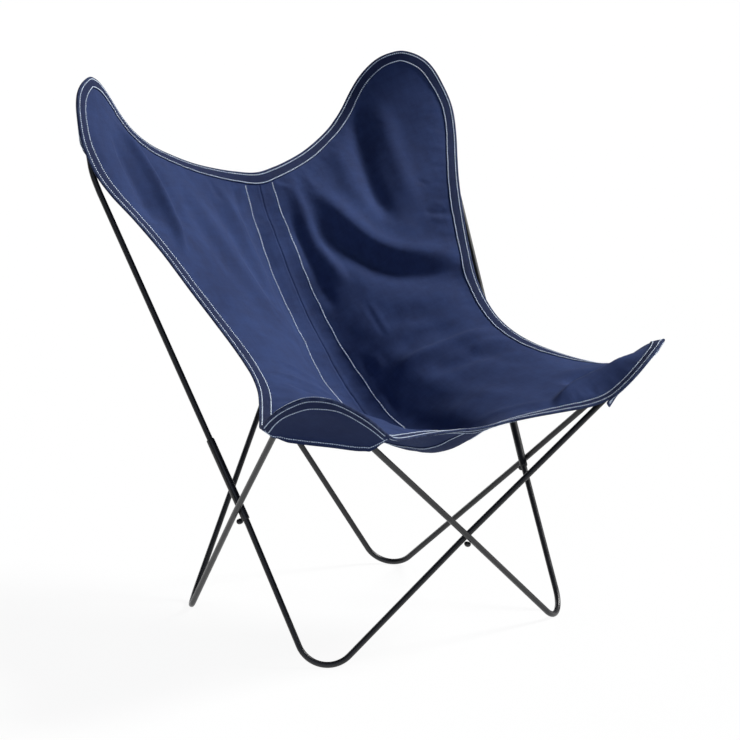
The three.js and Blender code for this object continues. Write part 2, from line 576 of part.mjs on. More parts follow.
// a thread row standing on faceted cloth: a and b are the corners of the facets on
// either side of it, f how far across it runs, falling where a cell's diagonal runs b to a
const threadRow = (a, b, up, f, falling) => {
  const line = [];
  for (let k = 0; k < a.length; k++) {
    line.push([a[k].clone().lerp(b[k], f[k]), b[k].clone().sub(a[k]).normalize(), up[k]]);
    if (k === a.length - 1) break;
    const g = (f[k] + f[k + 1]) / 2;
    const p = falling[k] ? b[k].clone().lerp(a[k + 1], 1 - g) : a[k].clone().lerp(b[k + 1], g);
    const across = b[k].clone().sub(a[k]).normalize().add(b[k + 1].clone().sub(a[k + 1]).normalize()).normalize();
    line.push([p, across, up[k].clone().add(up[k + 1]).normalize()]);
  }
  const points = [];
  for (const [p, across, n] of line) {
    const base = p.clone().addScaledVector(n, STITCH_GAP);
    points.push(base.clone().addScaledVector(across, -STITCH_R), base.clone().addScaledVector(across, STITCH_R),
      base.clone().addScaledVector(n, 1.4 * STITCH_R));
  }
  const out = [[0, 2, 1]];
  for (let i = 0; i < line.length - 1; i++) {
    for (let k = 0; k < 3; k++) {
      const s = 3 * i + k;
      const e = 3 * i + ((k + 1) % 3);
      out.push([s, e, e + 3], [s, e + 3, s + 3]);
    }
  }
  const l = 3 * (line.length - 1);
  out.push([l, l + 1, l + 2]);
  return outward(closedGeometry(points, out, false));
};
const sided = (p, side) => (side < 0 ? mirrored(p) : p);
const tapeThread = (w, side) => {
  const at = (d) => stations.map((s, k) => {
    const f = edgePoint(k, d, SEAM_GAP);
    return sided(sheet.lift(f[0], f[1], -BIND_OUT), side);
  });
  const up = stations.map((s, k) => sided(sheet.normal(...edgePoint(k, w, SEAM_GAP)).negate(), side));
  return threadRow(at(-BIND_LIP), at(BIND_W), up, stations.map(() => (w + BIND_LIP) / (BIND_W + BIND_LIP)), stations.map(() => false));
};
const seamThread = (p, side) => {
  const top = (f) => sided(sheet.lift(f[0], f[1], -CLOTH_T / 2), side);
  const d = (u, v) => Math.hypot(u[0] - v[0], u[1] - v[1]);
  return threadRow(grid.map((r) => top(r[0])), grid.map((r) => top(r[1])),
    grid.map((r) => sided(sheet.normal(p, r[0][1]).negate(), side)),
    grid.map((r) => (p - r[0][0]) / (r[1][0] - r[0][0])),
    grid.slice(0, -1).map((r, i) => d(r[0], grid[i + 1][1]) > d(r[1], grid[i + 1][0])));
};

// rows of the panel grid, cut across at p
const seamRows = (p) => grid.map((row, i) => {
  const [a, b] = [row[0], row[1]];
  const f = (Math.abs(p) - a[0]) / (b[0] - a[0]);
  return [p, a[1] + f * (b[1] - a[1])];
});
const centreBand = () => {
  const columns = [-BAND_HALF, 0, BAND_HALF].map(seamRows);
  const flat = [];
  for (let i = 0; i <= ROWS; i++) for (const c of columns) flat.push(c[i]);
  const faces = [];
  const d = (a, b) => Math.hypot(a[0] - b[0], a[1] - b[1]);
  for (let i = 0; i < ROWS; i++) {
    // the same diagonals as the panels above it
    const along1 = d(grid[i][0], grid[i + 1][1]) <= d(grid[i][1], grid[i + 1][0]);
    for (const [a, b, c, e, flip] of [
      [3 * i, 3 * i + 1, 3 * i + 4, 3 * i + 3, true],
      [3 * i + 1, 3 * i + 2, 3 * i + 5, 3 * i + 4, false]]) {
      if (along1 !== flip) faces.push([a, b, c], [a, c, e]);
      else faces.push([a, b, e], [b, c, e]);
    }
  }
  return outward(thicken(flat, faces, BAND_AT - BAND_T / 2, BAND_AT + BAND_T / 2, 1));
};

const densify = (path, step) => {
  const out = [];
  for (let i = 0; i < path.length - 1; i++) {
    const n = Math.max(1, Math.ceil(path[i].distanceTo(path[i + 1]) / step));
    for (let k = 0; k < n; k++) out.push(path[i].clone().lerp(path[i + 1], k / n));
  }
  out.push(path[path.length - 1].clone());
  return out;
};

// pocket cloth under a rounded tip: from the edge of the sling over the rod to a straight opening
const POCKET_ROWS = 14;
const makePocket = (side, rodPath, tip, ends) => {
  const rodPoints = densify(rodPath.map((p) => (side < 0 ? mirrored(p) : p)), 4);
  const s0 = tip + ends[0];
  const s1 = tip + ends[1];
  const a = inside(s0, 2);
  const b = inside(s1, 2);
  const near = (f) => {
    const c = sheet.at(f[0], f[1]);
    const n = sheet.normal(f[0], f[1]);
    let r = Infinity;
    let depth = 0;
    let sum = 0;
    let weight = 0;
    for (const p of rodPoints) {
      const d = p.clone().sub(c);
      if (d.lengthSq() > 160 * 160) continue;
      const k = d.dot(n);
      const side2 = Math.sqrt(Math.max(d.lengthSq() - k * k, 0));
      if (side2 < r && Math.abs(k) < 70) { r = side2; depth = k; }
      const w = 1 / (side2 * side2 + 30) ** 1.5;
      sum += w * k;
      weight += w;
    }
    return { r, depth, plateau: weight ? sum / weight : 0 };
  };
  const flat = [];
  const heights = [];
  const cols = 7;
  for (let i = 0; i <= POCKET_ROWS; i++) {
    const f = 0.035 + 0.93 * (i / POCKET_ROWS);
    const e = inside(s0 + f * (s1 - s0), 1.5);
    const o = [a[0] + f * (b[0] - a[0]), a[1] + f * (b[1] - a[1])];
    const length = Math.hypot(o[0] - e[0], o[1] - e[1]);
    const at = (g) => [e[0] + g * (o[0] - e[0]), e[1] + g * (o[1] - e[1])];
    let crest = 1;
    let best = Infinity;
    for (let k = 0; k <= 60; k++) {
      const { r } = near(at(k / 60));
      if (r < best) { best = r; crest = k / 60; }
    }
    const half = 3.5 / length;
    const crosses = best < 4 && crest - half > 0.08;
    let g;
    if (crosses && crest + half < 0.97) {
      const lo = crest - half;
      const hi = crest + half;
      g = [0, lo / 2, lo, hi, hi + (1 - hi) / 3, hi + (2 * (1 - hi)) / 3, 1];
    } else {
      g = [0, 1, 2, 3, 4, 5, 6].map((k) => k / 6);
    }
    g.forEach((t, k) => {
      const p = at(t);
      const m = near(p);
      const over = crosses && t > crest + 0.5 * half
        ? Math.max(m.plateau, m.r < 9 ? m.depth : -Infinity) + POCKET_CLEAR
        : m.depth + POCKET_CLEAR - 0.9 * Math.max(0, m.r - 7);
      flat.push(p);
      heights.push(k === 0 ? POCKET_AT : Math.max(POCKET_AT, over));
    });
  }
  const cells = [];
  for (let i = 0; i < POCKET_ROWS; i++) {
    for (let j = 0; j < cols - 1; j++) {
      const k = i * cols + j;
      cells.push([k, k + 1, k + cols + 1, k + cols]);
    }
  }
  // hem stitching HEM_AT from the opening, on the outer face
  const outer = (k) => sided(sheet.lift(flat[k][0], flat[k][1], heights[k] + POCKET_T / 2), side);
  const rowsAt = (back) => Array.from({ length: POCKET_ROWS + 1 }, (_, i) => outer(i * cols + cols - 1 - back));
  const edge = rowsAt(0);
  const behind = rowsAt(1);
  const faces = quads(cells, flat);
  const falls = Array.from({ length: POCKET_ROWS }, (_, i) => {
    const k = i * cols + cols - 2;
    // cell k, k + 1, k + cols + 1, k + cols; the edge is at k + 1
    return faces.some((f) => f.includes(k) && f.includes(k + cols + 1));
  });
  return {
    cloth: outward(thicken(flat, faces, (i) => heights[i] - POCKET_T / 2, (i) => heights[i] + POCKET_T / 2, side)),
    stitch: threadRow(edge, behind,
      edge.map((p, i) => sided(sheet.normal(...flat[i * cols + cols - 1]), side)),
      edge.map((p, i) => Math.min(0.6, HEM_AT / p.distanceTo(behind[i]))), falls),
  };
};

// pocket under a knee: cloth drawn tight from the edge of the sling, round the outside
// of the rod and down to an opening that runs straight from leg to leg
const kneePocket = (side, path, tip, front, sideOut) => {
  const frontLeg = front.clone().sub(tip).normalize();
  const sideLeg = sideOut.clone().sub(tip).normalize();
  const down = frontLeg.clone().add(sideLeg).normalize();
  const out = frontLeg.clone().cross(sideLeg).normalize();
  const across = out.clone().cross(down);
  const plane = (p) => {
    const d = p.clone().sub(tip);
    return [d.dot(down), d.dot(across), d.dot(out)];
  };
  const rodLine = densify(path, 3).map(plane).filter((p) => Math.abs(p[2]) < 30 && p[0] < 300);
  const s0 = S_KNEE + KNEE_POCKET[0];
  const s1 = S_KNEE + KNEE_POCKET[1];
  const edgeAt = (s) => {
    const f = inside(s, 1.5);
    return plane(sheet.lift(f[0], f[1], POCKET_AT));
  };
  const A = edgeAt(s0);
  const B = edgeAt(s1);
  let opening = [A, [...KNEE_OPENING[0], KNEE_WRAP_R], [...KNEE_OPENING[1], KNEE_WRAP_R], B];
  for (let k = 0; k < 3; k++) {
    const next = [opening[0]];
    for (let i = 0; i < opening.length - 1; i++) {
      const mixed = (t) => opening[i].map((x, n) => x + t * (opening[i + 1][n] - x));
      if (i > 0) next.push(mixed(0.16));
      if (i < opening.length - 2) next.push(mixed(0.84));
    }
    next.push(opening[opening.length - 1]);
    opening = next;
  }
  const cum = [0];
  for (let i = 1; i < opening.length; i++) cum.push(cum[i - 1] + Math.hypot(...opening[i].map((x, n) => x - opening[i - 1][n])));
  const openingAt = (f) => {
    const x = f * cum[cum.length - 1];
    let i = 1;
    while (i < cum.length - 1 && cum[i] < x) i++;
    const t = (x - cum[i - 1]) / (cum[i] - cum[i - 1]);
    return opening[i].map((v, n) => opening[i - 1][n] + t * (v - opening[i - 1][n]));
  };
  const floorAt = (x, y) => {
    let d = Infinity;
    for (const p of rodLine) d = Math.min(d, Math.hypot(p[0] - x, p[1] - y));
    return [d, d < KNEE_WRAP_R ? Math.sqrt(KNEE_WRAP_R ** 2 - d * d) : -1e3];
  };
  const points = [];
  const cols = 7;
  for (let i = 0; i <= POCKET_ROWS; i++) {
    const f = 0.035 + 0.93 * (i / POCKET_ROWS);
    const e = edgeAt(s0 + f * (s1 - s0));
    const o = openingAt(f);
    const at = (g, n) => e[n] + g * (o[n] - e[n]);
    const N = 60;
    const held = [];
    let crest = 0.5;
    let best = Infinity;
    for (let k = 0; k <= N; k++) {
      const g = k / N;
      const [d, low] = floorAt(at(g, 0), at(g, 1));
      if (d < best) { best = d; crest = g; }
      held.push([g, k === 0 ? e[2] : k === N ? Math.max(o[2], low) : low]);
    }
    const hull = [];
    for (const p of held) {
      while (hull.length > 1) {
        const [a, b] = hull.slice(-2);
        if ((b[1] - a[1]) * (p[0] - a[0]) <= (p[1] - a[1]) * (b[0] - a[0])) hull.pop();
        else break;
      }
      hull.push(p);
    }
    const heightAt = (g) => {
      let k = 1;
      while (k < hull.length - 1 && hull[k][0] < g) k++;
      const t = (g - hull[k - 1][0]) / (hull[k][0] - hull[k - 1][0]);
      return hull[k - 1][1] + t * (hull[k][1] - hull[k - 1][1]);
    };
    const length = Math.hypot(o[0] - e[0], o[1] - e[1]);
    const half = 3.6 / length;
    let g = [0, 1, 2, 3, 4, 5, 6].map((k) => k / 6);
    if (best < 3 && crest - half > 0.08 && crest + half < 0.9) {
      const lo = crest - half;
      const hi = crest + half;
      g = [0, lo / 2, lo, hi, hi + (1 - hi) / 3, hi + (2 * (1 - hi)) / 3, 1];
    }
    for (const t of g) points.push([at(t, 0), at(t, 1), heightAt(t)]);
  }
  const flat = points.map((p) => [p[0], p[1]]);
  const cells = [];
  for (let i = 0; i < POCKET_ROWS; i++) {
    for (let j = 0; j < cols - 1; j++) {
      const k = i * cols + j;
      cells.push([k, k + 1, k + cols + 1, k + cols]);
    }
  }
  const solid = (p, h) => {
    const w = tip.clone().addScaledVector(down, p[0]).addScaledVector(across, p[1]).addScaledVector(out, p[2] + h);
    return side < 0 ? mirrored(w) : w;
  };
  const n = points.length;
  const faces = quads(cells, flat);
  const all = [];
  const edges = new Map();
  for (const [a, b, c] of faces) {
    all.push([a, c, b], [a + n, b + n, c + n]);
    for (const [s, e] of [[a, b], [b, c], [c, a]]) {
      const back = `${e}_${s}`;
      if (edges.has(back)) edges.delete(back);
      else edges.set(`${s}_${e}`, [s, e]);
    }
  }
  for (const [s, e] of edges.values()) all.push([s, e, e + n], [s, e + n, s + n]);
  const cloth = outward(closedGeometry([...points.map((p) => solid(p, -POCKET_T / 2)), ...points.map((p) => solid(p, POCKET_T / 2))], all, false));
  const rowsAt = (back) => Array.from({ length: POCKET_ROWS + 1 }, (_, i) => solid(points[i * cols + cols - 1 - back], POCKET_T / 2));
  const edge = rowsAt(0);
  const behind = rowsAt(1);
  const falls = Array.from({ length: POCKET_ROWS }, (_, i) => {
    const k = i * cols + cols - 2;
    return faces.some((f) => f.includes(k) && f.includes(k + cols + 1));
  });
  const up = side < 0 ? mirrored(out) : out.clone();
  return {
    cloth,
    stitch: threadRow(edge, behind, edge.map(() => up.clone()), edge.map((p, i) => Math.min(0.6, HEM_AT / p.distanceTo(behind[i]))), falls),
  };
};

for (const [name, side] of [['left', -1], ['right', 1]]) {
  add(`sling_panel_${name}`, panel(side), NAVY_CANVAS);
}
add('centre_seam_band', centreBand(), NAVY_CANVAS);
for (const [name, side] of [['left', -1], ['right', 1]]) {
  add(`edge_binding_${name}`, outward(sweepEdge(BINDING, side)), NAVY_TAPE);
}
for (const [name, side] of [['left', -1], ['right', 1]]) {
  const earRod = side < 0 ? left.ear : right.ear;
  const ear = makePocket(side, earRod, S_EAR, EAR_POCKET);
  const knee = side < 0
    ? kneePocket(side, right.base.map(mirrored), V(KNEE), mirrored(right.frontPass), mirrored(right.sideOut))
    : kneePocket(side, left.base, V(KNEE), left.frontPass, left.sideOut);
  add(`ear_pocket_${name}`, ear.cloth, NAVY_CANVAS);
  add(`knee_pocket_${name}`, knee.cloth, NAVY_CANVAS);
  add(`ear_pocket_stitch_${name}`, ear.stitch, WHITE_THREAD);
  add(`knee_pocket_stitch_${name}`, knee.stitch, WHITE_THREAD);
}
for (const [name, side] of [['left', -1], ['right', 1]]) {
  add(`binding_outer_stitch_${name}`, tapeThread(STITCH_OUTER, side), WHITE_THREAD);
  add(`binding_inner_stitch_${name}`, tapeThread(STITCH_INNER, side), WHITE_THREAD);
  add(`centre_stitch_${name}`, seamThread(CENTRE_STITCH, side), WHITE_THREAD);
}

// origin under the middle of the bounding box, feet on the floor
const box = new THREE.Box3().setFromObject(chair);
const shift = new THREE.Vector3(-(box.min.x + box.max.x) / 2, -(box.min.y + box.max.y) / 2, -box.min.z);
for (const mesh of chair.children) mesh.geometry.translate(shift.x, shift.y, shift.z);

export default chair;
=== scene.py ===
import math

import bpy
import numpy as np
from mathutils import Matrix, Vector
from mathutils.geometry import delaunay_2d_cdt


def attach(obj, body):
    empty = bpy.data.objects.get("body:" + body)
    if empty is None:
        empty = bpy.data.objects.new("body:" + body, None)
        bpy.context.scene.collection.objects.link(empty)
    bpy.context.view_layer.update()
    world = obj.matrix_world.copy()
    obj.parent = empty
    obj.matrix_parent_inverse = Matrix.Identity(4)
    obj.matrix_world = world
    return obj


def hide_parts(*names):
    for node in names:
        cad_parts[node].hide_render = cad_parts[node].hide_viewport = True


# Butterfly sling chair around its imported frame. Tables and helpers work in the
# millimetres of the rod layout; make() shifts them to the row frame in metres.

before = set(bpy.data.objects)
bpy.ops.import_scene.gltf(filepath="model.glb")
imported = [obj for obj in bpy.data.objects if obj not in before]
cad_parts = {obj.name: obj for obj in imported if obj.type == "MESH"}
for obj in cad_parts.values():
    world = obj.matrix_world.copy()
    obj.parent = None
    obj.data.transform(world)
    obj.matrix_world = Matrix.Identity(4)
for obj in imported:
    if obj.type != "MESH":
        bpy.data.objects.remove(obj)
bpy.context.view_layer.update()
rng = np.random.default_rng(20)
SHIFT = np.array([0.0, 6.4157, -0.2253])

# ---------------------------------------------------------------- camera ----
YAW, PITCH, ROLL = 0.65096872, 0.21160981, -0.00117522
CAM_AT = np.array([-3075.07, -4054.30, 1518.45])
forward = np.array([math.sin(YAW) * math.cos(PITCH), math.cos(YAW) * math.cos(PITCH), -math.sin(PITCH)])
right0 = np.array([math.cos(YAW), -math.sin(YAW), 0.0])
up0 = np.cross(right0, forward)
cam_right = math.cos(ROLL) * right0 + math.sin(ROLL) * up0
cam_up = np.cross(cam_right, forward)
cam_data = bpy.data.cameras.new("photo_camera")
cam_data.sensor_width = 36.0
cam_data.lens = 3066.2 / 740.0 * 36.0
cam_data.clip_start = 0.05
cam_data.clip_end = 200.0
camera = bpy.data.objects.new("photo_camera", cam_data)
bpy.context.scene.collection.objects.link(camera)
at = (CAM_AT + SHIFT) / 1000.0
camera.matrix_world = Matrix((
    (cam_right[0], cam_up[0], -forward[0], at[0]),
    (cam_right[1], cam_up[1], -forward[1], at[1]),
    (cam_right[2], cam_up[2], -forward[2], at[2]),
    (0, 0, 0, 1)))
bpy.context.scene.camera = camera


# ------------------------------------------------------------- mesh maker ---
def make(name, points, faces, material, slot, uv=None, crease=None, smooth=True):
    """A mesh piece from points in millimetres that rides on the frame."""
    me = bpy.data.meshes.new(name)
    pts = (np.asarray(points, float) + SHIFT) / 1000.0
    me.from_pydata(pts.tolist(), [], [tuple(f) for f in faces])
    me.validate(verbose=False)
    if smooth:
        me.shade_smooth()
        if crease is not None:
            me.set_sharp_from_angle(angle=math.radians(crease))
    if uv is not None:
        layer = me.uv_layers.new(name="cloth")
        index = np.empty(len(me.loops), np.int32)
        me.loops.foreach_get("vertex_index", index)
        layer.data.foreach_set("uv", np.asarray(uv, np.float32)[index].ravel())
    me.materials.append(material)
    o = bpy.data.objects.new(name, me)
    bpy.context.scene.collection.objects.link(o)
    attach(o, "root")
    return o


# ---------------------------------------------------------- node materials --
class Nodes:
    """Short calls for building one node material."""

    def __init__(self, name):
        self.mat = bpy.data.materials.new(name)
        self.mat.use_nodes = True
        self.t = self.mat.node_tree
        self.bsdf = next(n for n in self.t.nodes if n.type == "BSDF_PRINCIPLED")

    def link(self, a, b):
        self.t.links.new(a, b)

    def node(self, kind, **values):
        n = self.t.nodes.new(kind)
        for k, v in values.items():
            setattr(n, k, v)
        return n

    def feed(self, socket, value):
        if isinstance(value, (int, float)):
            socket.default_value = value
        elif isinstance(value, (tuple, list)):
            socket.default_value = value
        else:
            self.link(value, socket)

    def math(self, op, a, b=0.0, c=0.0, clamp=False):
        n = self.node("ShaderNodeMath", operation=op, use_clamp=clamp)
        for socket, v in zip(n.inputs, (a, b, c)):
            self.feed(socket, v)
        return n.outputs[0]

    def scaled(self, vector, scale, offset=(0, 0, 0)):
        n = self.node("ShaderNodeMapping")
        self.link(vector, n.inputs["Vector"])
        n.inputs["Scale"].default_value = scale
        n.inputs["Location"].default_value = offset
        return n.outputs[0]

    def noise(self, vector, scale, detail=2.0, rough=0.5, distortion=0.0):
        n = self.node("ShaderNodeTexNoise")
        self.link(vector, n.inputs["Vector"])
        n.inputs["Scale"].default_value = scale
        n.inputs["Detail"].default_value = detail
        n.inputs["Roughness"].default_value = rough
        n.inputs["Distortion"].default_value = distortion
        return n.outputs["Fac"]

    def ramp(self, value, stops):
        n = self.node("ShaderNodeValToRGB")
        e = n.color_ramp.elements
        e[0].position, e[0].color = stops[0][0], (*stops[0][1], 1)
        e[1].position, e[1].color = stops[-1][0], (*stops[-1][1], 1)
        for at_, colour in stops[1:-1]:
            k = e.new(at_)
            k.color = (*colour, 1)
        self.link(value, n.inputs[0])
        return n.outputs[0]

    def mix(self, fac, a, b, kind="MIX"):
        n = self.node("ShaderNodeMix", data_type="RGBA", blend_type=kind)
        self.feed(n.inputs[0], fac)
        for socket, v in ((n.inputs[6], a), (n.inputs[7], b)):
            self.feed(socket, (*v, 1.0) if isinstance(v, tuple) and len(v) == 3 else v)
        return n.outputs[2]

    def range(self, value, a, b, lo, hi):
        n = self.node("ShaderNodeMapRange")
        self.feed(n.inputs[0], value)
        for i, v in zip((1, 2, 3, 4), (a, b, lo, hi)):
            n.inputs[i].default_value = v
        return n.outputs[0]

    def bump(self, height, strength, distance, normal=None):
        n = self.node("ShaderNodeBump")
        n.inputs["Strength"].default_value = strength
        n.inputs["Distance"].default_value = distance
        self.link(height, n.inputs["Height"])
        if normal is not None:
            self.link(normal, n.inputs["Normal"])
        return n.outputs[0]


def cloth_material(name, light, dark, pitch, turn=0.0, sheen=0.25, thread=0.35, fold_highlight_colour=None):
    """Plain-weave cotton canvas in the coordinates of the flat cloth."""
    m = Nodes(name)
    uv = m.node("ShaderNodeUVMap", uv_map="cloth").outputs[0]
    if turn:
        r = m.node("ShaderNodeMapping")
        m.link(uv, r.inputs["Vector"])
        r.inputs["Rotation"].default_value = (0, 0, turn)
        uv = r.outputs[0]
    obj = m.node("ShaderNodeTexCoord").outputs["Object"]
    split = m.node("ShaderNodeSeparateXYZ")
    m.link(uv, split.inputs[0])
    k = 2 * math.pi / pitch
    su = m.math("SINE", m.math("MULTIPLY", split.outputs[0], k))
    sv = m.math("SINE", m.math("MULTIPLY", split.outputs[1], k))
    over = m.math("MULTIPLY", su, sv)
    warp = m.noise(m.scaled(uv, (1 / pitch, 26.0, 1.0)), 1.0, 1.5)
    weft = m.noise(m.scaled(uv, (26.0, 1 / pitch, 1.0), (3.1, 7.7, 0)), 1.0, 1.5)
    slub_a = m.noise(m.scaled(uv, (210.0, 9.0, 1.0)), 1.0, 3.0, 0.6)
    slub_b = m.noise(m.scaled(uv, (9.0, 210.0, 1.0), (5.3, 1.2, 0)), 1.0, 3.0, 0.6)
    yarn = m.math("ADD", m.math("MULTIPLY", m.math("ADD", warp, weft), 0.5),
                  m.math("MULTIPLY", m.math("ADD", slub_a, slub_b), 0.5))
    fade = m.noise(obj, 7.0, 4.0, 0.6, 0.3)
    rub = m.noise(obj, 42.0, 3.0, 0.6)
    tone = m.math("ADD", m.math("MULTIPLY", m.math("ADD", yarn, -1.0), 0.55),
                  m.math("ADD", m.math("MULTIPLY", m.math("ADD", fade, -0.5), 1.2),
                         m.math("MULTIPLY", m.math("ADD", rub, -0.5), 1.0)))
    tone = m.math("ADD", tone, m.math("MULTIPLY", over, 0.10))
    tone = m.math("ADD", tone, 0.5, clamp=True)
    colour = m.ramp(tone, [(0.0, dark), (0.5, tuple((a + b) / 2 for a, b in zip(light, dark))), (1.0, light)])
    if fold_highlight_colour:
        # painted highlight: the rounded fold of a tape is coloured paler, in patches
        fold_line = m.range(m.math("ABSOLUTE", split.outputs[1]), 0.0006, 0.0022, 1.0, 0.0)
        patchy = m.range(m.noise(obj, 95.0, 4.0, 0.65), 0.42, 0.66, 0.0, 1.0)
        colour = m.mix(m.math("MULTIPLY", m.math("MULTIPLY", fold_line, patchy), 0.75), colour, fold_highlight_colour)
    m.link(colour, m.bsdf.inputs["Base Color"])
    rough = m.range(rub, 0.3, 0.7, 0.82, 0.95)
    m.link(rough, m.bsdf.inputs["Roughness"])
    m.bsdf.inputs["Specular IOR Level"].default_value = 0.12
    m.bsdf.inputs["Sheen Weight"].default_value = sheen
    m.bsdf.inputs["Sheen Roughness"].default_value = 0.45
    m.bsdf.inputs["Sheen Tint"].default_value = (0.55, 0.62, 0.9, 1.0)
    height = m.math("ADD", m.math("MULTIPLY", over, 0.5), m.math("MULTIPLY", yarn, 0.9))
    fine = m.bump(height, thread, 0.00022)
    soft = m.bump(m.noise(obj, 150.0, 3.0, 0.55), 0.28, 0.0008, fine)
    m.link(soft, m.bsdf.inputs["Normal"])
    return m.mat


def thread_material():
    m = Nodes("white_thread")
    obj = m.node("ShaderNodeTexCoord").outputs["Object"]
    dirt = m.noise(obj, 60.0, 3.0, 0.6)
    strand = m.noise(obj, 2600.0, 1.0)
    tone = m.math("ADD", m.math("MULTIPLY", dirt, 0.7), m.math("MULTIPLY", strand, 0.3))
    m.link(m.ramp(tone, [(0.3, (0.72, 0.83, 1.0)), (0.7, (0.83, 0.915, 1.0))]), m.bsdf.inputs["Base Color"])
    m.bsdf.inputs["Roughness"].default_value = 0.75
    m.bsdf.inputs["Specular IOR Level"].default_value = 0.3
    m.link(m.bump(strand, 0.5, 0.0002), m.bsdf.inputs["Normal"])
    return m.mat


def coat_material(name, base, rough):
    """Satin powder coat: faint orange peel, slightly rubbed and dusty in places."""
    m = Nodes(name)
    obj = m.node("ShaderNodeTexCoord").outputs["Object"]
    peel = m.noise(obj, 900.0, 2.0, 0.5)
    slow = m.noise(obj, 28.0, 3.0, 0.6)
    colour = m.ramp(slow, [(0.25, tuple(0.75 * c for c in base)), (0.55, base), (0.85, tuple(1.7 * c for c in base))])
    m.link(colour, m.bsdf.inputs["Base Color"])
    m.link(m.range(m.math("ADD", m.math("MULTIPLY", slow, 0.8), m.math("MULTIPLY", peel, 0.2)),
                   0.3, 0.7, rough - 0.06, rough + 0.09), m.bsdf.inputs["Roughness"])
    m.bsdf.inputs["Specular IOR Level"].default_value = 0.42
    m.link(m.bump(peel, 0.25, 0.0002), m.bsdf.inputs["Normal"])
    return m.mat


CANVAS = cloth_material("navy_canvas", (0.037, 0.062, 0.170), (0.019, 0.031, 0.092), 0.0011, 0.0, 0.05)
POCKET_CLOTH = cloth_material("navy_pocket_canvas", (0.035, 0.052, 0.134), (0.019, 0.029, 0.080), 0.0011, 0.35, 0.05)
# the tape's last colour is a painted highlight laid along its rounded fold
TAPE = cloth_material("navy_tape", (0.027, 0.038, 0.098), (0.014, 0.021, 0.058), 0.0009, 0.0, 0.05, 0.45, (0.075, 0.105, 0.200))
THREAD = thread_material()
ROD_COAT = coat_material("black_powder_coat", (0.012, 0.012, 0.013), 0.36)
SOCKET_COAT = coat_material("black_socket_coat", (0.014, 0.014, 0.015), 0.33)
WELD_COAT = coat_material("black_weld_coat", (0.013, 0.013, 0.014), 0.42)

# ------------------------------------------------- held points of the cloth -
# across and along the flat cloth, then the x, y, z it is held at
TOP_EDGE = [
  [0, 0, 0, 313, 726], [43.9, -7.2, 40.7, 319.2, 730.6], [85.6, -18.6, 80.4, 326.7, 739.0],
  [125.7, -32.8, 119.3, 335, 750.5], [163.5, -50.4, 156.6, 344, 766.6], [198.9, -71.3, 192, 353.9, 786],
  [231.4, -96, 222.7, 362.6, 812.7], [262.8, -122, 247.9, 366.9, 845.4], [288.5, -138.6, 266, 364.2, 870.7],
  [316.7, -150.5, 286.1, 356.4, 893.2], [336.7, -154.8, 301, 348.4, 905.3], [357.2, -154.2, 316.8, 337.5, 913.2],
  [377.4, -149.6, 333, 325, 917],
]
SIDE_EDGE = [
  [395.3, -132.6, 354.0, 311.3, 911.0], [409.4, -112.6, 371.2, 298.3, 897.8], [418.2, -89.8, 381.6, 286, 879.0],
  [422.5, -65.9, 387.5, 274, 857.6], [423.5, -41.6, 391.7, 262.4, 836.2], [421.3, -17.4, 392.6, 251.5, 814.2],
  [407.9, 29.4, 383.9, 230.3, 770.6], [388.2, 74.1, 366.4, 204.9, 732.2], [367.9, 118.7, 346.2, 175.4, 698.3],
  [342.7, 188.3, 320.4, 130.4, 645.6], [321.7, 260.6, 298.9, 85.9, 590.5], [303.5, 336.5, 280.2, 37.7, 537.6],
  [295.6, 415.3, 272.4, -19.4, 491.6], [300.2, 466.9, 277.7, -61.9, 467.3], [315.4, 515.5, 294.1, -104.5, 449],
  [339.9, 558.9, 319.1, -144.7, 435.3], [368.3, 597.6, 346.7, -184.3, 425.1], [399.1, 633, 374.6, -224.3, 419.6],
  [410.8, 653.1, 385.4, -244.5, 426.1], [420.7, 674.7, 393, -263.8, 437.5], [428.5, 697.5, 397.1, -283.6, 450.5],
  [430.9, 721.7, 395.3, -304.3, 464.5], [425.4, 745.5, 386.1, -324.9, 477.3],
]
FRONT_EDGE = [
  [414.4, 767.5, 372, -344, 487], [399.3, 781.6, 355.6, -356.8, 487.5], [382.3, 792.5, 338.6, -368, 483.8],
  [362.9, 797.7, 320.8, -374.5, 475.4], [343.1, 800.4, 303.4, -378.6, 464.8], [313.4, 802.4, 277.8, -381.5, 447.4],
  [283.6, 799.9, 253.2, -378.5, 428.4], [254.3, 794.6, 228.7, -371.3, 410.8], [225.5, 785.2, 201.7, -359.7, 400.6],
  [186.1, 773.9, 163.1, -345.2, 395.3], [143.9, 767, 123.2, -333.8, 392.2], [98.7, 763.9, 82.6, -325.5, 389.2],
  [50.4, 763.2, 41.5, -320.2, 386.1], [0, 764, 0, -319, 384],
]
SEAM_LINE = [
  [0, 62, 0, 286.1, 666.4], [0, 123.7, 0, 252, 614.4], [0, 184.5, 0, 216.1, 563.6],
  [0, 244.2, 0, 179.1, 513.6], [0, 302.3, 0, 136.9, 468.1], [0, 359.7, 0, 88.9, 428.6],
  [0, 416.9, 0, 39.4, 391], [0, 473, 0, -12.1, 356.3], [0, 525.9, 0, -68.5, 330.5],
  [0, 574.6, 0, -128.9, 315.9], [0, 626.8, 0, -190.7, 318.1], [0, 663.7, 0, -229.9, 331.3],
  [0, 702.8, 0, -266.1, 351.4], [0, 743.8, 0, -301.1, 373.6],
]
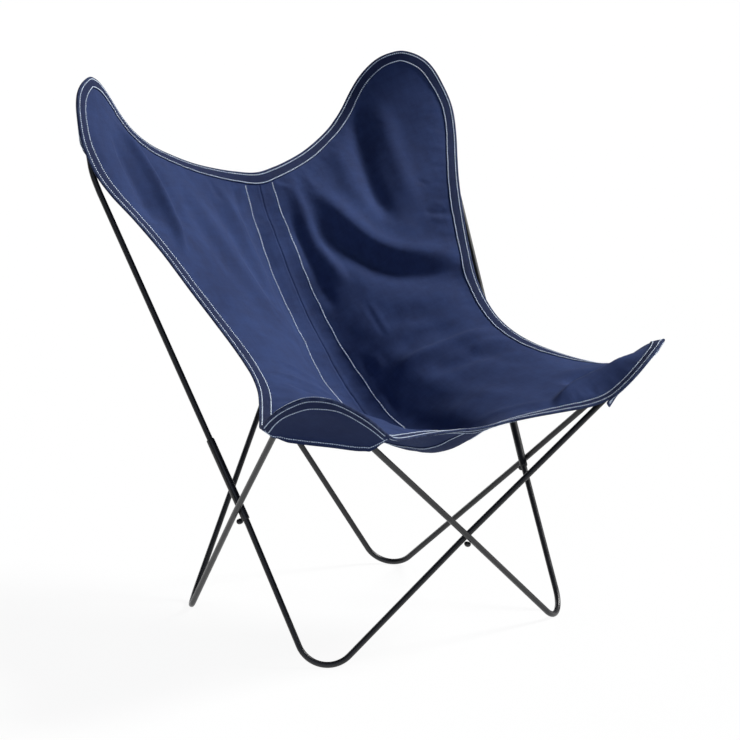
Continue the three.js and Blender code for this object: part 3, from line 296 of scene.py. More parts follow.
SHEET_INNER = [
  [78.2, 93.8, 73.4, 253.9, 652], [165.2, 64, 155.5, 257.8, 691], [242.5, 38, 227.8, 259, 727.4],
  [321.3, 12.7, 300.3, 256, 766.2], [78.1, 212.8, 70.7, 174.8, 561.6], [165.6, 180.2, 152.6, 175.9, 609.3],
  [241.2, 153.9, 224.5, 177.5, 646.6], [309.8, 132.3, 290.1, 177.5, 677.3], [80, 325.3, 69.9, 90.9, 483.6],
  [165.6, 292.5, 149, 94.1, 534.2], [234.8, 270.9, 214.9, 95.4, 567], [287.6, 258.1, 266, 94.1, 586.7],
  [84.6, 438.9, 72.1, -6.5, 419.2], [167.5, 416.9, 148, -6, 464.3], [228.7, 407.7, 206.6, -8.4, 486.3],
  [272.2, 408.8, 249.1, -13.6, 493.4], [89.6, 589, 75.8, -151.6, 373], [175.9, 594.1, 156.2, -167.5, 409.1],
  [240.3, 592.2, 218.8, -172.5, 425.9], [298.8, 576.6, 277.5, -161.3, 434.8], [89.4, 701.9, 77.8, -264, 376.8],
  [181.1, 709.9, 161.4, -281, 399.8], [256.3, 715.3, 231.5, -292.9, 419], [336.7, 708.6, 307.6, -290.5, 440.8],
  [384.7, -90.1, 350, 296.8, 867.3], [313.6, -67.7, 290.1, 309.4, 825.3], [391.6, -6.9, 365.2, 251.8, 798.6],
  [379.2, 642.9, 354.7, -230.8, 428.1], [351, 768.3, 313.1, -347.3, 463], [382.5, 766, 341.4, -342.6, 478.3],
  [400, 755, 358.9, -330.9, 481], [407.7, 743.5, 367.6, -320.7, 479.2], [410.5, 730.5, 372.9, -308.8, 473.2],
  [409.8, 714.8, 375.7, -295.5, 464.2], [404.5, 699, 373.6, -282.1, 454.2],
]

# ------------------------------------------------------ the sling's surface -
rows = np.array(TOP_EDGE + SIDE_EDGE + FRONT_EDGE + SEAM_LINE + SHEET_INNER, float)


def kernel(r2):
    return np.where(r2 > 1e-12, r2 * np.log(np.maximum(r2, 1e-12)), 0.0)


_off = rows[:, 0] > 0.01
_c = np.vstack([rows[:, :2], rows[_off, :2] * [-1, 1]]) / 300.0
_held = np.vstack([rows[:, 2:], rows[_off, 2:] * [-1, 1, 1]])
_n = len(_c)
_a = np.zeros((_n + 3, _n + 3))
_a[:_n, :_n] = kernel(((_c[:, None] - _c[None]) ** 2).sum(2))
_a[:_n, _n] = 1
_a[:_n, _n + 1:] = _c
_a[_n, :_n] = 1
_a[_n + 1:, :_n] = _c.T
_w = np.linalg.solve(_a, np.vstack([_held, np.zeros((3, 3))]))


def plate(pq):
    """Thin plate bent through the held points."""
    u = np.atleast_2d(pq) / 300.0
    out = np.empty((len(u), 3))
    for k in range(0, len(u), 4000):
        q = u[k:k + 4000]
        out[k:k + 4000] = kernel(((q[:, None] - _c[None]) ** 2).sum(2)) @ _w[:_n] + _w[_n] + q @ _w[_n + 1:]
    return out


def unit(v):
    return v / np.maximum(np.linalg.norm(v, axis=-1, keepdims=True), 1e-12)


# edge of the flat cloth
def catmull(points, steps):
    """Centripetal Catmull-Rom through points; first and last only give directions."""
    out, knots = [], []
    p = np.asarray(points, float)
    for i in range(1, len(p) - 2):
        x0, x1, x2, x3 = p[i - 1:i + 3]
        d0, d1, d2 = (max(np.linalg.norm(b - a) ** 0.5, 1e-6) for a, b in ((x0, x1), (x1, x2), (x2, x3)))
        t1 = ((x1 - x0) / d0 - (x2 - x0) / (d0 + d1) + (x2 - x1) / d1) * d1
        t2 = ((x2 - x1) / d1 - (x3 - x1) / (d1 + d2) + (x3 - x2) / d2) * d1
        t = np.arange(steps)[:, None] / steps
        knots.append(len(out))
        out.extend(x1 + t1 * t + (-3 * x1 + 3 * x2 - 2 * t1 - t2) * t ** 2 + (2 * x1 - 2 * x2 + t1 + t2) * t ** 3)
    knots.append(len(out))
    out.append(p[-2])
    return np.array(out), knots


_edge_rows = np.array(TOP_EDGE + SIDE_EDGE + FRONT_EDGE, float)[:, :2]
_edge, _knots = catmull([_edge_rows[1] * [-1, 1], *_edge_rows, _edge_rows[-2] * [-1, 1]], 40)
_edge_s = np.concatenate([[0], np.cumsum(np.linalg.norm(np.diff(_edge, axis=0), axis=1))])
HALF = _edge_s[-1]                       # half the way round, back middle to front middle
EAR = _edge_s[_knots[len(TOP_EDGE) - 1]]
KNEE = _edge_s[_knots[len(TOP_EDGE) + len(SIDE_EDGE)]]


def edge_at(s):
    """Point and inward normal on the flat edge; s runs 0..2 HALF, right half first."""
    s = np.mod(np.asarray(s, float), 2 * HALF)
    left = s > HALF
    t = np.where(left, 2 * HALF - s, s)
    o = np.stack([np.interp(t, _edge_s, _edge[:, k]) for k in (0, 1)], -1)
    h = 3.0
    a = np.stack([np.interp(t - h, _edge_s, _edge[:, k]) for k in (0, 1)], -1)
    b = np.stack([np.interp(t + h, _edge_s, _edge[:, k]) for k in (0, 1)], -1)
    tan = unit(b - a)
    tan[t < h] = (1, 0)
    tan[t > HALF - h] = (-1, 0)
    inner = np.stack([-tan[:, 1], tan[:, 0]], -1)
    sign = np.where(left, -1.0, 1.0)[:, None] * [1, 0] + [0, 1]
    return o * sign, inner * sign


def inside(s, w):
    o, n = edge_at(np.atleast_1d(s))
    return o + n * np.asarray(w, float).reshape(-1, 1)


# lattice of the whole flat cloth
STEP = 2.0
P_AX = np.arange(-450, 450 + STEP, STEP)
Q_AX = np.arange(-178, 826 + STEP, STEP)
PP, QQ = np.meshgrid(P_AX, Q_AX, indexing="ij")
flat_all = np.stack([PP.ravel(), QQ.ravel()], 1)
base = plate(flat_all).reshape(len(P_AX), len(Q_AX), 3)


def lattice_normal(field):
    return unit(np.cross(np.gradient(field, STEP, axis=0), np.gradient(field, STEP, axis=1)))


base_n = lattice_normal(base)            # towards the underside


def smoothstep(x, a, b):
    t = np.clip((x - a) / (b - a), 0, 1)
    return t * t * (3 - 2 * t)


def value_noise(scale, seed):
    """Smooth noise over the flat cloth, about -1..1, features of that size in mm."""
    r = np.random.default_rng(seed)
    n = int(1100 / scale) + 6
    g = r.uniform(-1, 1, (n, n))
    x = (PP + 460) / scale + 1
    y = (QQ + 190) / scale + 1
    i, j = np.floor(x).astype(int), np.floor(y).astype(int)
    fx, fy = x - i, y - j
    out = 0.0

    def b(t):
        return ((1 - t) ** 3 / 6, (3 * t ** 3 - 6 * t ** 2 + 4) / 6, (-3 * t ** 3 + 3 * t ** 2 + 3 * t + 1) / 6, t ** 3 / 6)
    bx, by = b(fx), b(fy)
    for u in range(4):
        for v in range(4):
            out = out + bx[u] * by[v] * g[np.clip(i + u - 1, 0, n - 1), np.clip(j + v - 1, 0, n - 1)]
    return out * 2.2


def fold(points, height, width, lean=0.0, ease=0.25):
    """A ridge (height > 0, up) or a valley along a line in the flat cloth.
    lean makes the side on the line's left steeper; ease fades it out at the ends."""
    pts = np.asarray(points, float)
    line, _ = catmull([2 * pts[0] - pts[1], *pts, 2 * pts[-1] - pts[-2]], 10)
    cum = np.concatenate([[0], np.cumsum(np.linalg.norm(np.diff(line, axis=0), axis=1))])
    total = cum[-1]
    near = np.full(PP.shape, 1e9)
    along = np.zeros(PP.shape)
    side = np.zeros(PP.shape)
    reach = 3.2 * width
    lo, hi = line.min(0) - reach, line.max(0) + reach
    box = (PP > lo[0]) & (PP < hi[0]) & (QQ > lo[1]) & (QQ < hi[1])
    x, y = PP[box], QQ[box]
    nn, aa, ss = near[box], along[box], side[box]
    for k in range(len(line) - 1):
        d = line[k + 1] - line[k]
        l2 = (d ** 2).sum()
        if l2 < 1e-9:
            continue
        t = np.clip(((x - line[k][0]) * d[0] + (y - line[k][1]) * d[1]) / l2, 0, 1)
        dx, dy = x - line[k][0] - t * d[0], y - line[k][1] - t * d[1]
        r = np.hypot(dx, dy)
        better = r < nn
        nn = np.where(better, r, nn)
        aa = np.where(better, cum[k] + t * (cum[k + 1] - cum[k]), aa)
        ss = np.where(better, np.sign(d[0] * dy - d[1] * dx), ss)
    f = aa / total
    taper = smoothstep(f, 0, ease) * smoothstep(1 - f, 0, ease) if ease > 0 else 1.0
    w = width * (1 + lean * ss)
    out = np.zeros(PP.shape)
    out[box] = height * taper * np.exp(-(nn / w) ** 2)
    return out


# how the cloth pulls and creases, in the flat cloth (negative across = left half)
lift = np.zeros(PP.shape)
for line, height, width, lean, ease in (
    # right of the seam, falling from the back edge
    ([(62, 4), (68, 30), (70, 66), (68, 110), (72, 156), (82, 210), (92, 260)], 6.0, 12, 0.15, 0.25),
    ([(44, 60), (46, 120), (47, 180), (50, 240), (55, 300)], -5.0, 10, 0.0, 0.3),
    ([(92, 12), (112, 66), (138, 130), (163, 184), (198, 224), (244, 246), (290, 258), (326, 262)], 12.5, 20, -0.15, 0.3),
    ([(80, 76), (98, 134), (122, 178), (152, 222), (196, 264), (240, 286), (290, 302), (330, 308)], -13.5, 24, 0.28, 0.3),
    ([(186, -50), (184, 0), (178, 50), (168, 100)], 4.0, 18, 0.0, 0.3),
    ([(110, 290), (160, 318), (224, 340), (286, 352)], 3.0, 20, 0.0, 0.35),
    ([(90, 330), (150, 356), (220, 378)], -3.0, 20, 0.0, 0.35),
    ([(276, 160), (300, 172), (322, 176)], -2.6, 7, 0.0, 0.3),
    ([(280, 178), (302, 190), (324, 194)], 2.4, 7, 0.0, 0.3),
    ([(100, 275), (98, 330), (98, 380)], -1.0, 4.5, 0.0, 0.4),
    ([(109, 275), (107, 330), (106, 380)], 0.9, 6.0, 0.0, 0.4),
    # small creases near the right ear and its side edge
    ([(263, -46), (278, -39), (292, -37)], -1.5, 4.2, 0.0, 0.4),
    ([(290, 92), (303, 104), (316, 114)], -1.3, 4.2, 0.0, 0.4),
    ([(300, 150), (312, 158), (322, 164)], 1.0, 5.0, 0.0, 0.4),
    # short puckers under the back edge
    ([(39, 24), (52, 30), (66, 40)], 1.8, 5.0, 0.0, 0.4),
    ([(37, 16), (50, 19), (66, 26)], -1.4, 4.0, 0.0, 0.4),
    ([(-40, 20), (-56, 24), (-74, 34)], 1.2, 5.0, 0.0, 0.4),
    ([(100, 10), (106, 30), (112, 60)], 1.5, 7.0, 0.0, 0.4),
    # left wing
    ([(-392, -96), (-392, -40), (-372, 20)], 1.6, 10, 0.0, 0.35),
    ([(-176, -20), (-172, 60), (-158, 150), (-136, 250), (-120, 330)], 6.0, 20, 0.0, 0.35),
    ([(-132, -4), (-124, 80), (-112, 170), (-98, 270), (-92, 340)], -6.5, 17, 0.0, 0.35),
    ([(-92, 6), (-88, 70), (-80, 150), (-76, 230)], 5.0, 13, 0.0, 0.3),
    ([(-214, -10), (-206, 80), (-190, 180), (-176, 270)], -3.2, 18, 0.0, 0.35),
    ([(-58, 16), (-62, 60), (-66, 110)], -2.4, 8, 0.0, 0.3),
    ([(-108, -8), (-106, 24), (-100, 60)], -2.2, 7, 0.0, 0.35),
    ([(-250, 180), (-236, 270), (-214, 370), (-196, 440)], 2.0, 26, 0.0, 0.35),
    ([(-262, 470), (-220, 486), (-170, 508), (-120, 532)], 4.6, 8, 0.0, 0.3),
    ([(-258, 500), (-210, 520), (-160, 548)], -3.8, 8, 0.0, 0.3),
    ([(-230, 430), (-180, 452), (-130, 470), (-80, 482)], 3.6, 8, 0.0, 0.3),
    ([(-70, 500), (-50, 520), (-36, 548)], -2.0, 5, 0.0, 0.3),
    # seat: pulls that fan out from the low end of the seam
    ([(-36, 10), (-36, 120), (-38, 250), (-38, 380), (-34, 480)], -11.5, 29, 0.35, 0.3),
    ([(-58, 300), (-60, 380), (-60, 450), (-56, 520), (-44, 610)], -15.0, 96, 0.0, 0.32),
    ([(52, 450), (98, 436), (164, 441), (240, 449), (298, 464)], 8.0, 13, 0.15, 0.3),
    ([(100, 476), (136, 481), (178, 490), (226, 500), (280, 508)], -6.5, 16, 0.0, 0.3),
    ([(84, 404), (150, 400), (222, 412)], -5.0, 15, 0.0, 0.3),
    ([(50, 368), (48, 398), (43, 432)], -2.6, 7.0, 0.0, 0.45),
    ([(68, 376), (66, 400), (60, 426)], 1.5, 7.0, 0.0, 0.4),
    ([(42, 424), (46, 466), (38, 508)], -2.2, 6.5, 0.0, 0.4),
    ([(196, 480), (240, 476), (290, 486)], 4.0, 9, 0.0, 0.3),
    ([(44, 470), (52, 560), (60, 650), (64, 720)], -2.4, 16, 0.0, 0.35),
    ([(96, 430), (120, 520), (150, 610), (176, 690)], 2.4, 22, 0.0, 0.35),
    ([(170, 400), (206, 480), (252, 560), (290, 610)], -2.2, 20, 0.0, 0.35),
    ([(250, 640), (300, 660), (350, 690), (384, 712)], 1.8, 13, 0.0, 0.35),
    ([(262, 690), (310, 716), (352, 744)], -1.6, 9, 0.0, 0.35),
    ([(-70, 450), (-90, 540), (-120, 640), (-150, 710)], 2.2, 22, 0.0, 0.35),
    ([(-160, 420), (-200, 500), (-250, 570), (-300, 620)], -2.0, 20, 0.0, 0.35),
    ([(-120, 560), (-126, 640), (-134, 725)], -2.4, 12, 0.0, 0.3),
    ([(-250, 640), (-300, 664), (-350, 694)], 1.6, 13, 0.0, 0.35),
    ([(0, 560), (4, 640), (0, 720)], -1.4, 24, 0.0, 0.4),
    ([(110, 470), (120, 540), (124, 610)], -3.5, 70, 0.0, 0.35),
    # pulls between the tips
    ([(60, 640), (110, 676), (170, 716), (230, 748)], 1.6, 10, 0.0, 0.35),
    ([(-30, 690), (-80, 716), (-140, 744)], 1.4, 9, 0.0, 0.35),
    ([(110, 716), (150, 730), (196, 752)], -1.3, 6, 0.0, 0.35),
):
    lift += fold(line, height, width, lean, ease)
lift += 1.8 * value_noise(120, 3) + 1.15 * value_noise(52, 5) + 0.45 * value_noise(24, 8)
lift += (0.16 + 0.12 * value_noise(90, 12)) * value_noise(11, 9)

# distance to the edge, for puckers along the sewn border and quiet tips
_es = np.arange(0, 2 * HALF, 4.0)
_ep, _ = edge_at(_es)
edge_d = np.full(PP.shape, 1e9)
edge_s = np.zeros(PP.shape)
for k0 in range(0, PP.size, 20000):
    f = flat_all[k0:k0 + 20000]
    d2 = ((f[:, None] - _ep[None]) ** 2).sum(2)
    j = d2.argmin(1)
    edge_d.ravel()[k0:k0 + 20000] = np.sqrt(d2[np.arange(len(f)), j])
    edge_s.ravel()[k0:k0 + 20000] = _es[j]
_pr = np.random.default_rng(31)
_phase = np.cumsum(_pr.uniform(0.6, 1.4, len(_es)) * 4.0)
_wave = np.sin(2 * math.pi * _phase / 31.0) + 0.6 * np.sin(2 * math.pi * _phase / 17.3 + 1.0)
_size = 0.5 + 0.5 * np.interp(np.arange(len(_es)), np.arange(0, len(_es) + 12, 12), _pr.uniform(0, 1, len(np.arange(0, len(_es) + 12, 12))))
pucker = np.interp(edge_s.ravel(), _es, _wave * _size, period=2 * HALF).reshape(PP.shape)
band = smoothstep(edge_d, 6, 22) * (1 - smoothstep(edge_d, 24, 62))
lift += 0.55 * pucker * band
# the border keeps its line, and the cloth lies on the rods at the four tips
still = smoothstep(edge_d, 8, 38)
tips = [np.array(edge_at(np.array([s]))[0][0]) for s in (EAR, KNEE, 2 * HALF - EAR, 2 * HALF - KNEE)]
held = np.zeros(PP.shape)
for t in tips:
    held = np.maximum(held, 1 - smoothstep(np.hypot(PP - t[0], QQ - t[1]), 60, 130))
lift = lift * (0.14 + 0.86 * still) * (1 - 0.72 * held)
# the left ear folds over along a sharp pull, and the right ear hollows beside its border
sharp = np.zeros(PP.shape)
for line, height, width, lean, ease in (
    ([(-316, -98), (-294, -78), (-279, -42), (-270, 11), (-271, 73), (-276, 129), (-288, 196)], 14.0, 10, 0.2, 0.2),
    ([(-340, -72), (-322, -36), (-314, 16), (-313, 80), (-318, 146)], -13.0, 19, 0.0, 0.3),
    ([(-236, -60), (-234, 0), (-238, 70), (-246, 140)], -7.0, 15, 0.0, 0.3),
    ([(272, -112), (254, -70), (238, -20), (222, 34), (214, 86), (216, 134), (232, 174)], -13.0, 19, 0.0, 0.25),
    ([(300, -90), (290, -30), (280, 30), (272, 90), (264, 160)], 7.0, 21, 0.0, 0.3),
    # the pull from the right knee across the seat
    ([(384, 758), (350, 744), (316, 730), (282, 722), (248, 720), (212, 729), (168, 752)], 16.0, 21, -0.45, 0.28),
    ([(384, 716), (352, 703), (318, 693), (280, 687), (236, 690)], -14.0, 17, 0.0, 0.25),
    ([(-408, 760), (-372, 750), (-330, 740), (-280, 733), (-226, 742)], 5.0, 15, 0.2, 0.25),
):
    sharp += fold(line, height, width, lean, ease)
lift += sharp * smoothstep(edge_d, 12, 30)
lift += fold([(405, 632), (419, 657), (431, 687), (437, 714), (433, 741)], -8.0, 13, 0.0, 0.3)
# short puckers between the two rows beside the seam
_q = QQ + 6 * np.sin(PP / 9.0)
ripple = np.sin(_q / 3.1 + 1.7 * np.sin(_q / 17.0)) * 0.34 + np.sin(_q / 7.7 + 1.0) * 0.42
lift += ripple * np.exp(-(PP / 30.0) ** 6) * np.clip(0.45 + 0.75 * value_noise(70, 21), 0, 1) * smoothstep(edge_d, 18, 34)

cloth = base - base_n * lift[..., None]
cloth_n = lattice_normal(cloth)


def look(field, pq):
    x = (pq[:, 0] - P_AX[0]) / STEP
    y = (pq[:, 1] - Q_AX[0]) / STEP
    i = np.clip(np.floor(x).astype(int), 0, len(P_AX) - 2)
    j = np.clip(np.floor(y).astype(int), 0, len(Q_AX) - 2)
    fx, fy = (x - i), (y - j)
    if field.ndim == 3:
        fx, fy = fx[:, None], fy[:, None]
    return (field[i, j] * (1 - fx) * (1 - fy) + field[i + 1, j] * fx * (1 - fy)
            + field[i, j + 1] * (1 - fx) * fy + field[i + 1, j + 1] * fx * fy)


def on_cloth(pq, h):
    """Points h below (+) or above (-) the middle of the canvas, and the normal down."""
    pq = np.atleast_2d(pq)
    n = unit(look(cloth_n, pq))
    return look(cloth, pq) + n * np.asarray(h, float).reshape(-1, 1), n


CLOTH_T = 1.4
BIND_W = 20.6

# ------------------------------------------------------------- rod frame ----
ROD_R, SLEEVE_R, SLEEVE_BORE_R = 5.0, 6.8, 5.45
SIDE_SLEEVE_UP, SIDE_SLEEVE_DOWN = 128.0, 17.0
REAR_SLEEVE_FROM, REAR_SLEEVE_LEN, PLUG_DEPTH, BUTT_GAP = 26.0, 118.0, 70.0, 1.0
FRONT_FOOT, REAR_FOOT, KNEE_AT = (266.7, -224.5, -28.5), (220.3, 224.6, -26.9), (397.9, -367.1, 521.8)
FRONT_FOOT_R, REAR_FOOT_R, KNEE_R, CROSSING_R = 50.0, 47.0, 45.0, 160.0
FRONT_CROSS, REAR_CROSS = (0.0, -281.3, 192.6), (0.0, 284.0, 331.0)
SIDE_CROSS, SIDE_NORMAL = (304.9, -62.4, 239.7), (0.974, 0.1075, -0.199)
FRONT_PASS, REAR_PASS, SIDE_PASS_IN, SIDE_PASS_OUT = 5.4, 5.35, 6.1, 6.2
SIDE_NOTCH = (-0.212, 0.1296, -0.9686)
LOOP_POINTS = [
    (371.7, 236.3, 735), (375.3, 252.8, 768), (374.5, 263.0, 795), (372.5, 273.5, 820), (368.0, 286.0, 844),
    (360.5, 300.2, 864.6), (348.0, 313.1, 880.6), (331.4, 325.8, 887.2), (314.0, 337.2, 882.4), (298.0, 344.1, 868.4),
    (284.5, 347.5, 850), (275.5, 349.0, 827), (268.0, 347.5, 801), (260.5, 345.5, 773), (250.0, 343.0, 745)]


def bent(corners, step=4.0, spacing=26.0):
    """Straight runs joined by arcs; corners are (point, radius)."""
    out = [np.array(corners[0][0], float)]
    for i in range(1, len(corners) - 1):
        v, r = np.array(corners[i][0], float), corners[i][1]
        a = unit(np.array(corners[i - 1][0], float) - v)
        b = unit(np.array(corners[i + 1][0], float) - v)
        half = math.acos(float(np.clip(a @ b, -1, 1))) / 2
        if math.pi / 2 - half < 0.002:
            out.append(v)
            continue
        c = v + unit(a + b) * r / math.sin(half)
        e0 = v + a * r / math.tan(half) - c
        e1 = v + b * r / math.tan(half) - c
        turn = math.pi - 2 * half
        n = max(3, int(math.ceil(math.degrees(turn) / step)))
        for k in range(n + 1):
            f = k / n
            out.append(c + e0 * math.sin((1 - f) * turn) / math.sin(turn) + e1 * math.sin(f * turn) / math.sin(turn))
    out.append(np.array(corners[-1][0], float))
    dense = []
    for a, b in zip(out[:-1], out[1:]):
        n = max(1, int(np.linalg.norm(b - a) // spacing))
        dense.extend(a + (b - a) * k / n for k in range(n))
    dense.append(out[-1])
    return np.array(dense)


def along(a, b, d):
    return a + unit(b - a) * d


def flip(a, s):
    return np.array((a[0] * s, a[1], a[2]), float)


def frame_side(s):
    """The rod that starts in the socket on side s, and the ear loop plugged into it."""
    side_in = flip(SIDE_CROSS, s) - flip(SIDE_NORMAL, s) * SIDE_PASS_IN
    side_out = flip(SIDE_CROSS, -s) + flip(SIDE_NORMAL, -s) * SIDE_PASS_OUT
    front = np.array(FRONT_CROSS) + (0, FRONT_PASS if s < 0 else -FRONT_PASS, 0)
    rear = np.array(REAR_CROSS) + (0, -REAR_PASS if s < 0 else REAR_PASS, 0)
    loop = [flip(p, s) for p in LOOP_POINTS]
    front_foot, rear_foot, knee = flip(FRONT_FOOT, s), flip(REAR_FOOT, -s), flip(KNEE_AT, -s)
    for _ in range(4):
        front_foot[2] += ROD_R - bent([(side_in,), (front_foot, FRONT_FOOT_R), (front,)], 1.0, 1e9)[:, 2].min()
        rear_foot[2] += ROD_R - bent([(side_out,), (rear_foot, REAR_FOOT_R), (rear,)], 1.0, 1e9)[:, 2].min()
    side_top, rear_top = loop[0], loop[-1]
    side_bend = along(side_in, side_top, -SIDE_SLEEVE_DOWN - 8)
    side_joint = along(side_in, side_top, SIDE_SLEEVE_UP - PLUG_DEPTH)
    rear_joint = along(rear, rear_top, REAR_SLEEVE_FROM + REAR_SLEEVE_LEN - PLUG_DEPTH)
    path = bent([(along(side_joint, side_in, BUTT_GAP / 2),), (side_bend, CROSSING_R), (front_foot, FRONT_FOOT_R),
                 (front, CROSSING_R), (knee, KNEE_R), (side_out, CROSSING_R), (rear_foot, REAR_FOOT_R),
                 (rear, CROSSING_R), (along(rear_joint, rear, BUTT_GAP / 2),)])
    curve, knots = catmull([2 * side_in - loop[0], side_in, *loop, rear, 2 * rear - loop[-1]], 8)
    bend = curve[knots[1]:knots[len(loop)] + 1]
    first = along(side_joint, side_top, BUTT_GAP / 2)
    last = along(rear_joint, rear_top, BUTT_GAP / 2)
    n0 = int(np.linalg.norm(bend[0] - first) // 26)
    n1 = int(np.linalg.norm(last - bend[-1]) // 26)
    ear = np.vstack([[first + (bend[0] - first) * k / n0 for k in range(n0)], bend,
                     [bend[-1] + (last - bend[-1]) * (k + 1) / n1 for k in range(n1)]])
    return dict(side_in=side_in, side_out=side_out, front=front, rear=rear, side_top=side_top,
                rear_top=rear_top, base=path, ear=ear)


def frames(path):
    """Directions and turn-free side vectors along a path."""
    d = unit(np.diff(path, axis=0))
    t = unit(np.vstack([d[:1], d[:-1] + d[1:], d[-1:]]))
    ref = np.array((0.0, 0.0, 1.0)) if abs(t[0][2]) < 0.9 else np.array((1.0, 0.0, 0.0))
    u = unit(np.cross(t[0], ref))
    us = [u]
    for k in range(1, len(path)):
        v = np.cross(t[k - 1], t[k])
        s, c = np.linalg.norm(v), float(t[k - 1] @ t[k])
        if s > 1e-9:
            ax, ang = v / s, math.atan2(s, c)
            u = u * math.cos(ang) + np.cross(ax, u) * math.sin(ang) + ax * (ax @ u) * (1 - math.cos(ang))
        u = unit(u - t[k] * (u @ t[k]))
        us.append(u)
    us = np.array(us)
    return t, us, np.cross(t, us)


def sweep(path, radii, sides=26):
    """Closed tube round a path; radii has one value per point (or one for all)."""
    t, u, v = frames(path)
    r = np.broadcast_to(np.asarray(radii, float), (len(path),))
    a = np.arange(sides) * 2 * math.pi / sides
    pts = (path[:, None] + r[:, None, None] * (np.cos(a)[None, :, None] * u[:, None] + np.sin(a)[None, :, None] * v[:, None])).reshape(-1, 3)
    n = len(path)
    faces = []
    for k in range(n - 1):
        for j in range(sides):
            j2 = (j + 1) % sides
            faces.append((k * sides + j, k * sides + j2, (k + 1) * sides + j2, (k + 1) * sides + j))
    pts = np.vstack([pts, path[:1], path[-1:]])
    c0, c1 = n * sides, n * sides + 1
    for j in range(sides):
        j2 = (j + 1) % sides
        faces.append((c0, j2, j))
        faces.append((c1, (n - 1) * sides + j, (n - 1) * sides + j2))
    return pts, faces


left, right = frame_side(-1), frame_side(1)
pieces = {}
for name, side in (("left", left), ("right", right)):
    for kind in ("base", "ear"):
        path = side[kind]
        ends = [along(path[0], path[1], d) for d in (0.0, 0.7)], [along(path[-1], path[-2], d) for d in (0.7, 0.0)]
        line = np.vstack([ends[0], path[1:-1], ends[1]])
        radii = np.full(len(line), ROD_R)
        radii[0] = radii[-1] = ROD_R - 0.7
        label = ("seat_rod_" if kind == "base" else "ear_rod_") + name
        node = ("base_rod_" if kind == "base" else "ear_loop_") + name
        o = make(label, *sweep(line, radii), ROD_COAT, "frame", crease=40)
        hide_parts(node)
        pieces[label] = o


def socket(name, node, a, b):
    """Steel sleeve with rolled rims, open at both ends."""
    axis = unit(b - a)
    length = float(np.linalg.norm(b - a))
    u = unit(np.cross(axis, (0.0, 0.0, 1.0)))
    v = np.cross(axis, u)
    R, B = SLEEVE_R, SLEEVE_BORE_R
    prof = [(1.4, R - 0.12), (0.5, R - 0.22), (0.12, R - 0.55), (0.0, (R + B) / 2), (0.15, B + 0.2), (0.8, B + 0.02)]
    ring = [(x, r) for x, r in prof[::-1]] + [(3.0, R)]
    outer = [(x, R) for x in np.linspace(3.0, length - 3.0, 9)[1:]]
    tail = [(length - x, r) for x, r in prof]
    inner = [(x, B) for x in np.linspace(length - 3, 3.0, 5)]
    loop = ring + outer + tail + inner
    n, m = 32, len(loop)
    ang = np.arange(n) * 2 * math.pi / n
    pts = np.array([[a + axis * x + r * (math.cos(t) * u + math.sin(t) * v) for t in ang] for x, r in loop]).reshape(-1, 3)
    faces = [(k * n + j, ((k + 1) % m) * n + j, ((k + 1) % m) * n + (j + 1) % n, k * n + (j + 1) % n)
             for k in range(m) for j in range(n)]
    o = make(name, pts, faces, SOCKET_COAT, "frame", crease=50)
    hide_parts(node)
    return o


for name, f in (("left", left), ("right", right)):
    socket(f"side_sleeve_{name}", f"side_socket_{name}", along(f["side_in"], f["side_top"], -SIDE_SLEEVE_DOWN),
           along(f["side_in"], f["side_top"], SIDE_SLEEVE_UP))
    socket(f"rear_sleeve_{name}", f"rear_socket_{name}", along(f["rear"], f["rear_top"], REAR_SLEEVE_FROM),
           along(f["rear"], f["rear_top"], REAR_SLEEVE_FROM + REAR_SLEEVE_LEN))


def weld(name, node, centre, axis, half, radius, seed):
    """A short bead laid in the notch, with the ripples of the torch."""
    r = np.random.default_rng(seed)
    axis = unit(np.array(axis, float))
    u = unit(np.cross(axis, (0.0, 0.0, 1.0) if abs(axis[2]) < 0.9 else (1.0, 0.0, 0.0)))
    v = np.cross(axis, u)
    nu, nv = 40, 24
    pts, faces = [], []
    for i in range(nu + 1):
        th = math.pi * i / nu
        x = -math.cos(th) * half
        rad = radius * math.sin(th) ** 0.7 if 0 < i < nu else 0.0
        rad *= 1 + 0.07 * math.sin(x * 2 * math.pi / 1.9 + 0.6)
        for j in range(nv):
            a = 2 * math.pi * j / nv
            k = 1 + 0.05 * math.sin(2 * a + seed) + 0.04 * math.sin(3 * a + 2 * seed)
            pts.append(np.array(centre) + axis * x + rad * k * (math.cos(a) * u + math.sin(a) * v))
    for i in range(nu):
        for j in range(nv):
            j2 = (j + 1) % nv
            a, b, c, d = i * nv + j, i * nv + j2, (i + 1) * nv + j2, (i + 1) * nv + j
            faces.append((a, d, c, b))
    import bmesh
    o = make(name, pts, faces, WELD_COAT, "frame")
    bm = bmesh.new()
    bm.from_mesh(o.data)
    bmesh.ops.remove_doubles(bm, verts=bm.verts, dist=1e-6)
    bmesh.ops.recalc_face_normals(bm, faces=bm.faces)
    bm.to_mesh(o.data)
    bm.free()
    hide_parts(node)


weld("front_weld_bead", "front_crossing_weld", (0, FRONT_CROSS[1], FRONT_CROSS[2] - 12), (0, 1, 0), 5.9, 4.5, 1)
weld("rear_weld_bead", "rear_crossing_weld", (0, REAR_CROSS[1], REAR_CROSS[2] - 17), (0, 1, 0), 5.9, 4.5, 2)
for s in (-1, 1):
    side_name = "left" if s < 0 else "right"
    weld(f"{side_name}_weld_bead", f"{side_name}_crossing_weld", flip(SIDE_CROSS, s) + flip(SIDE_NOTCH, s) * 19.0,
         flip(SIDE_NORMAL, s), 5.7, 4.5, 4 + s)

def seam_row(q, side):
    """How far from the seam its stitch row runs."""
    return 31.0 + 0.7 * np.sin(np.asarray(q) / 21.0 + 1.2 * side) + 0.45 * np.sin(np.asarray(q) / 8.3 + 2.0 * side)


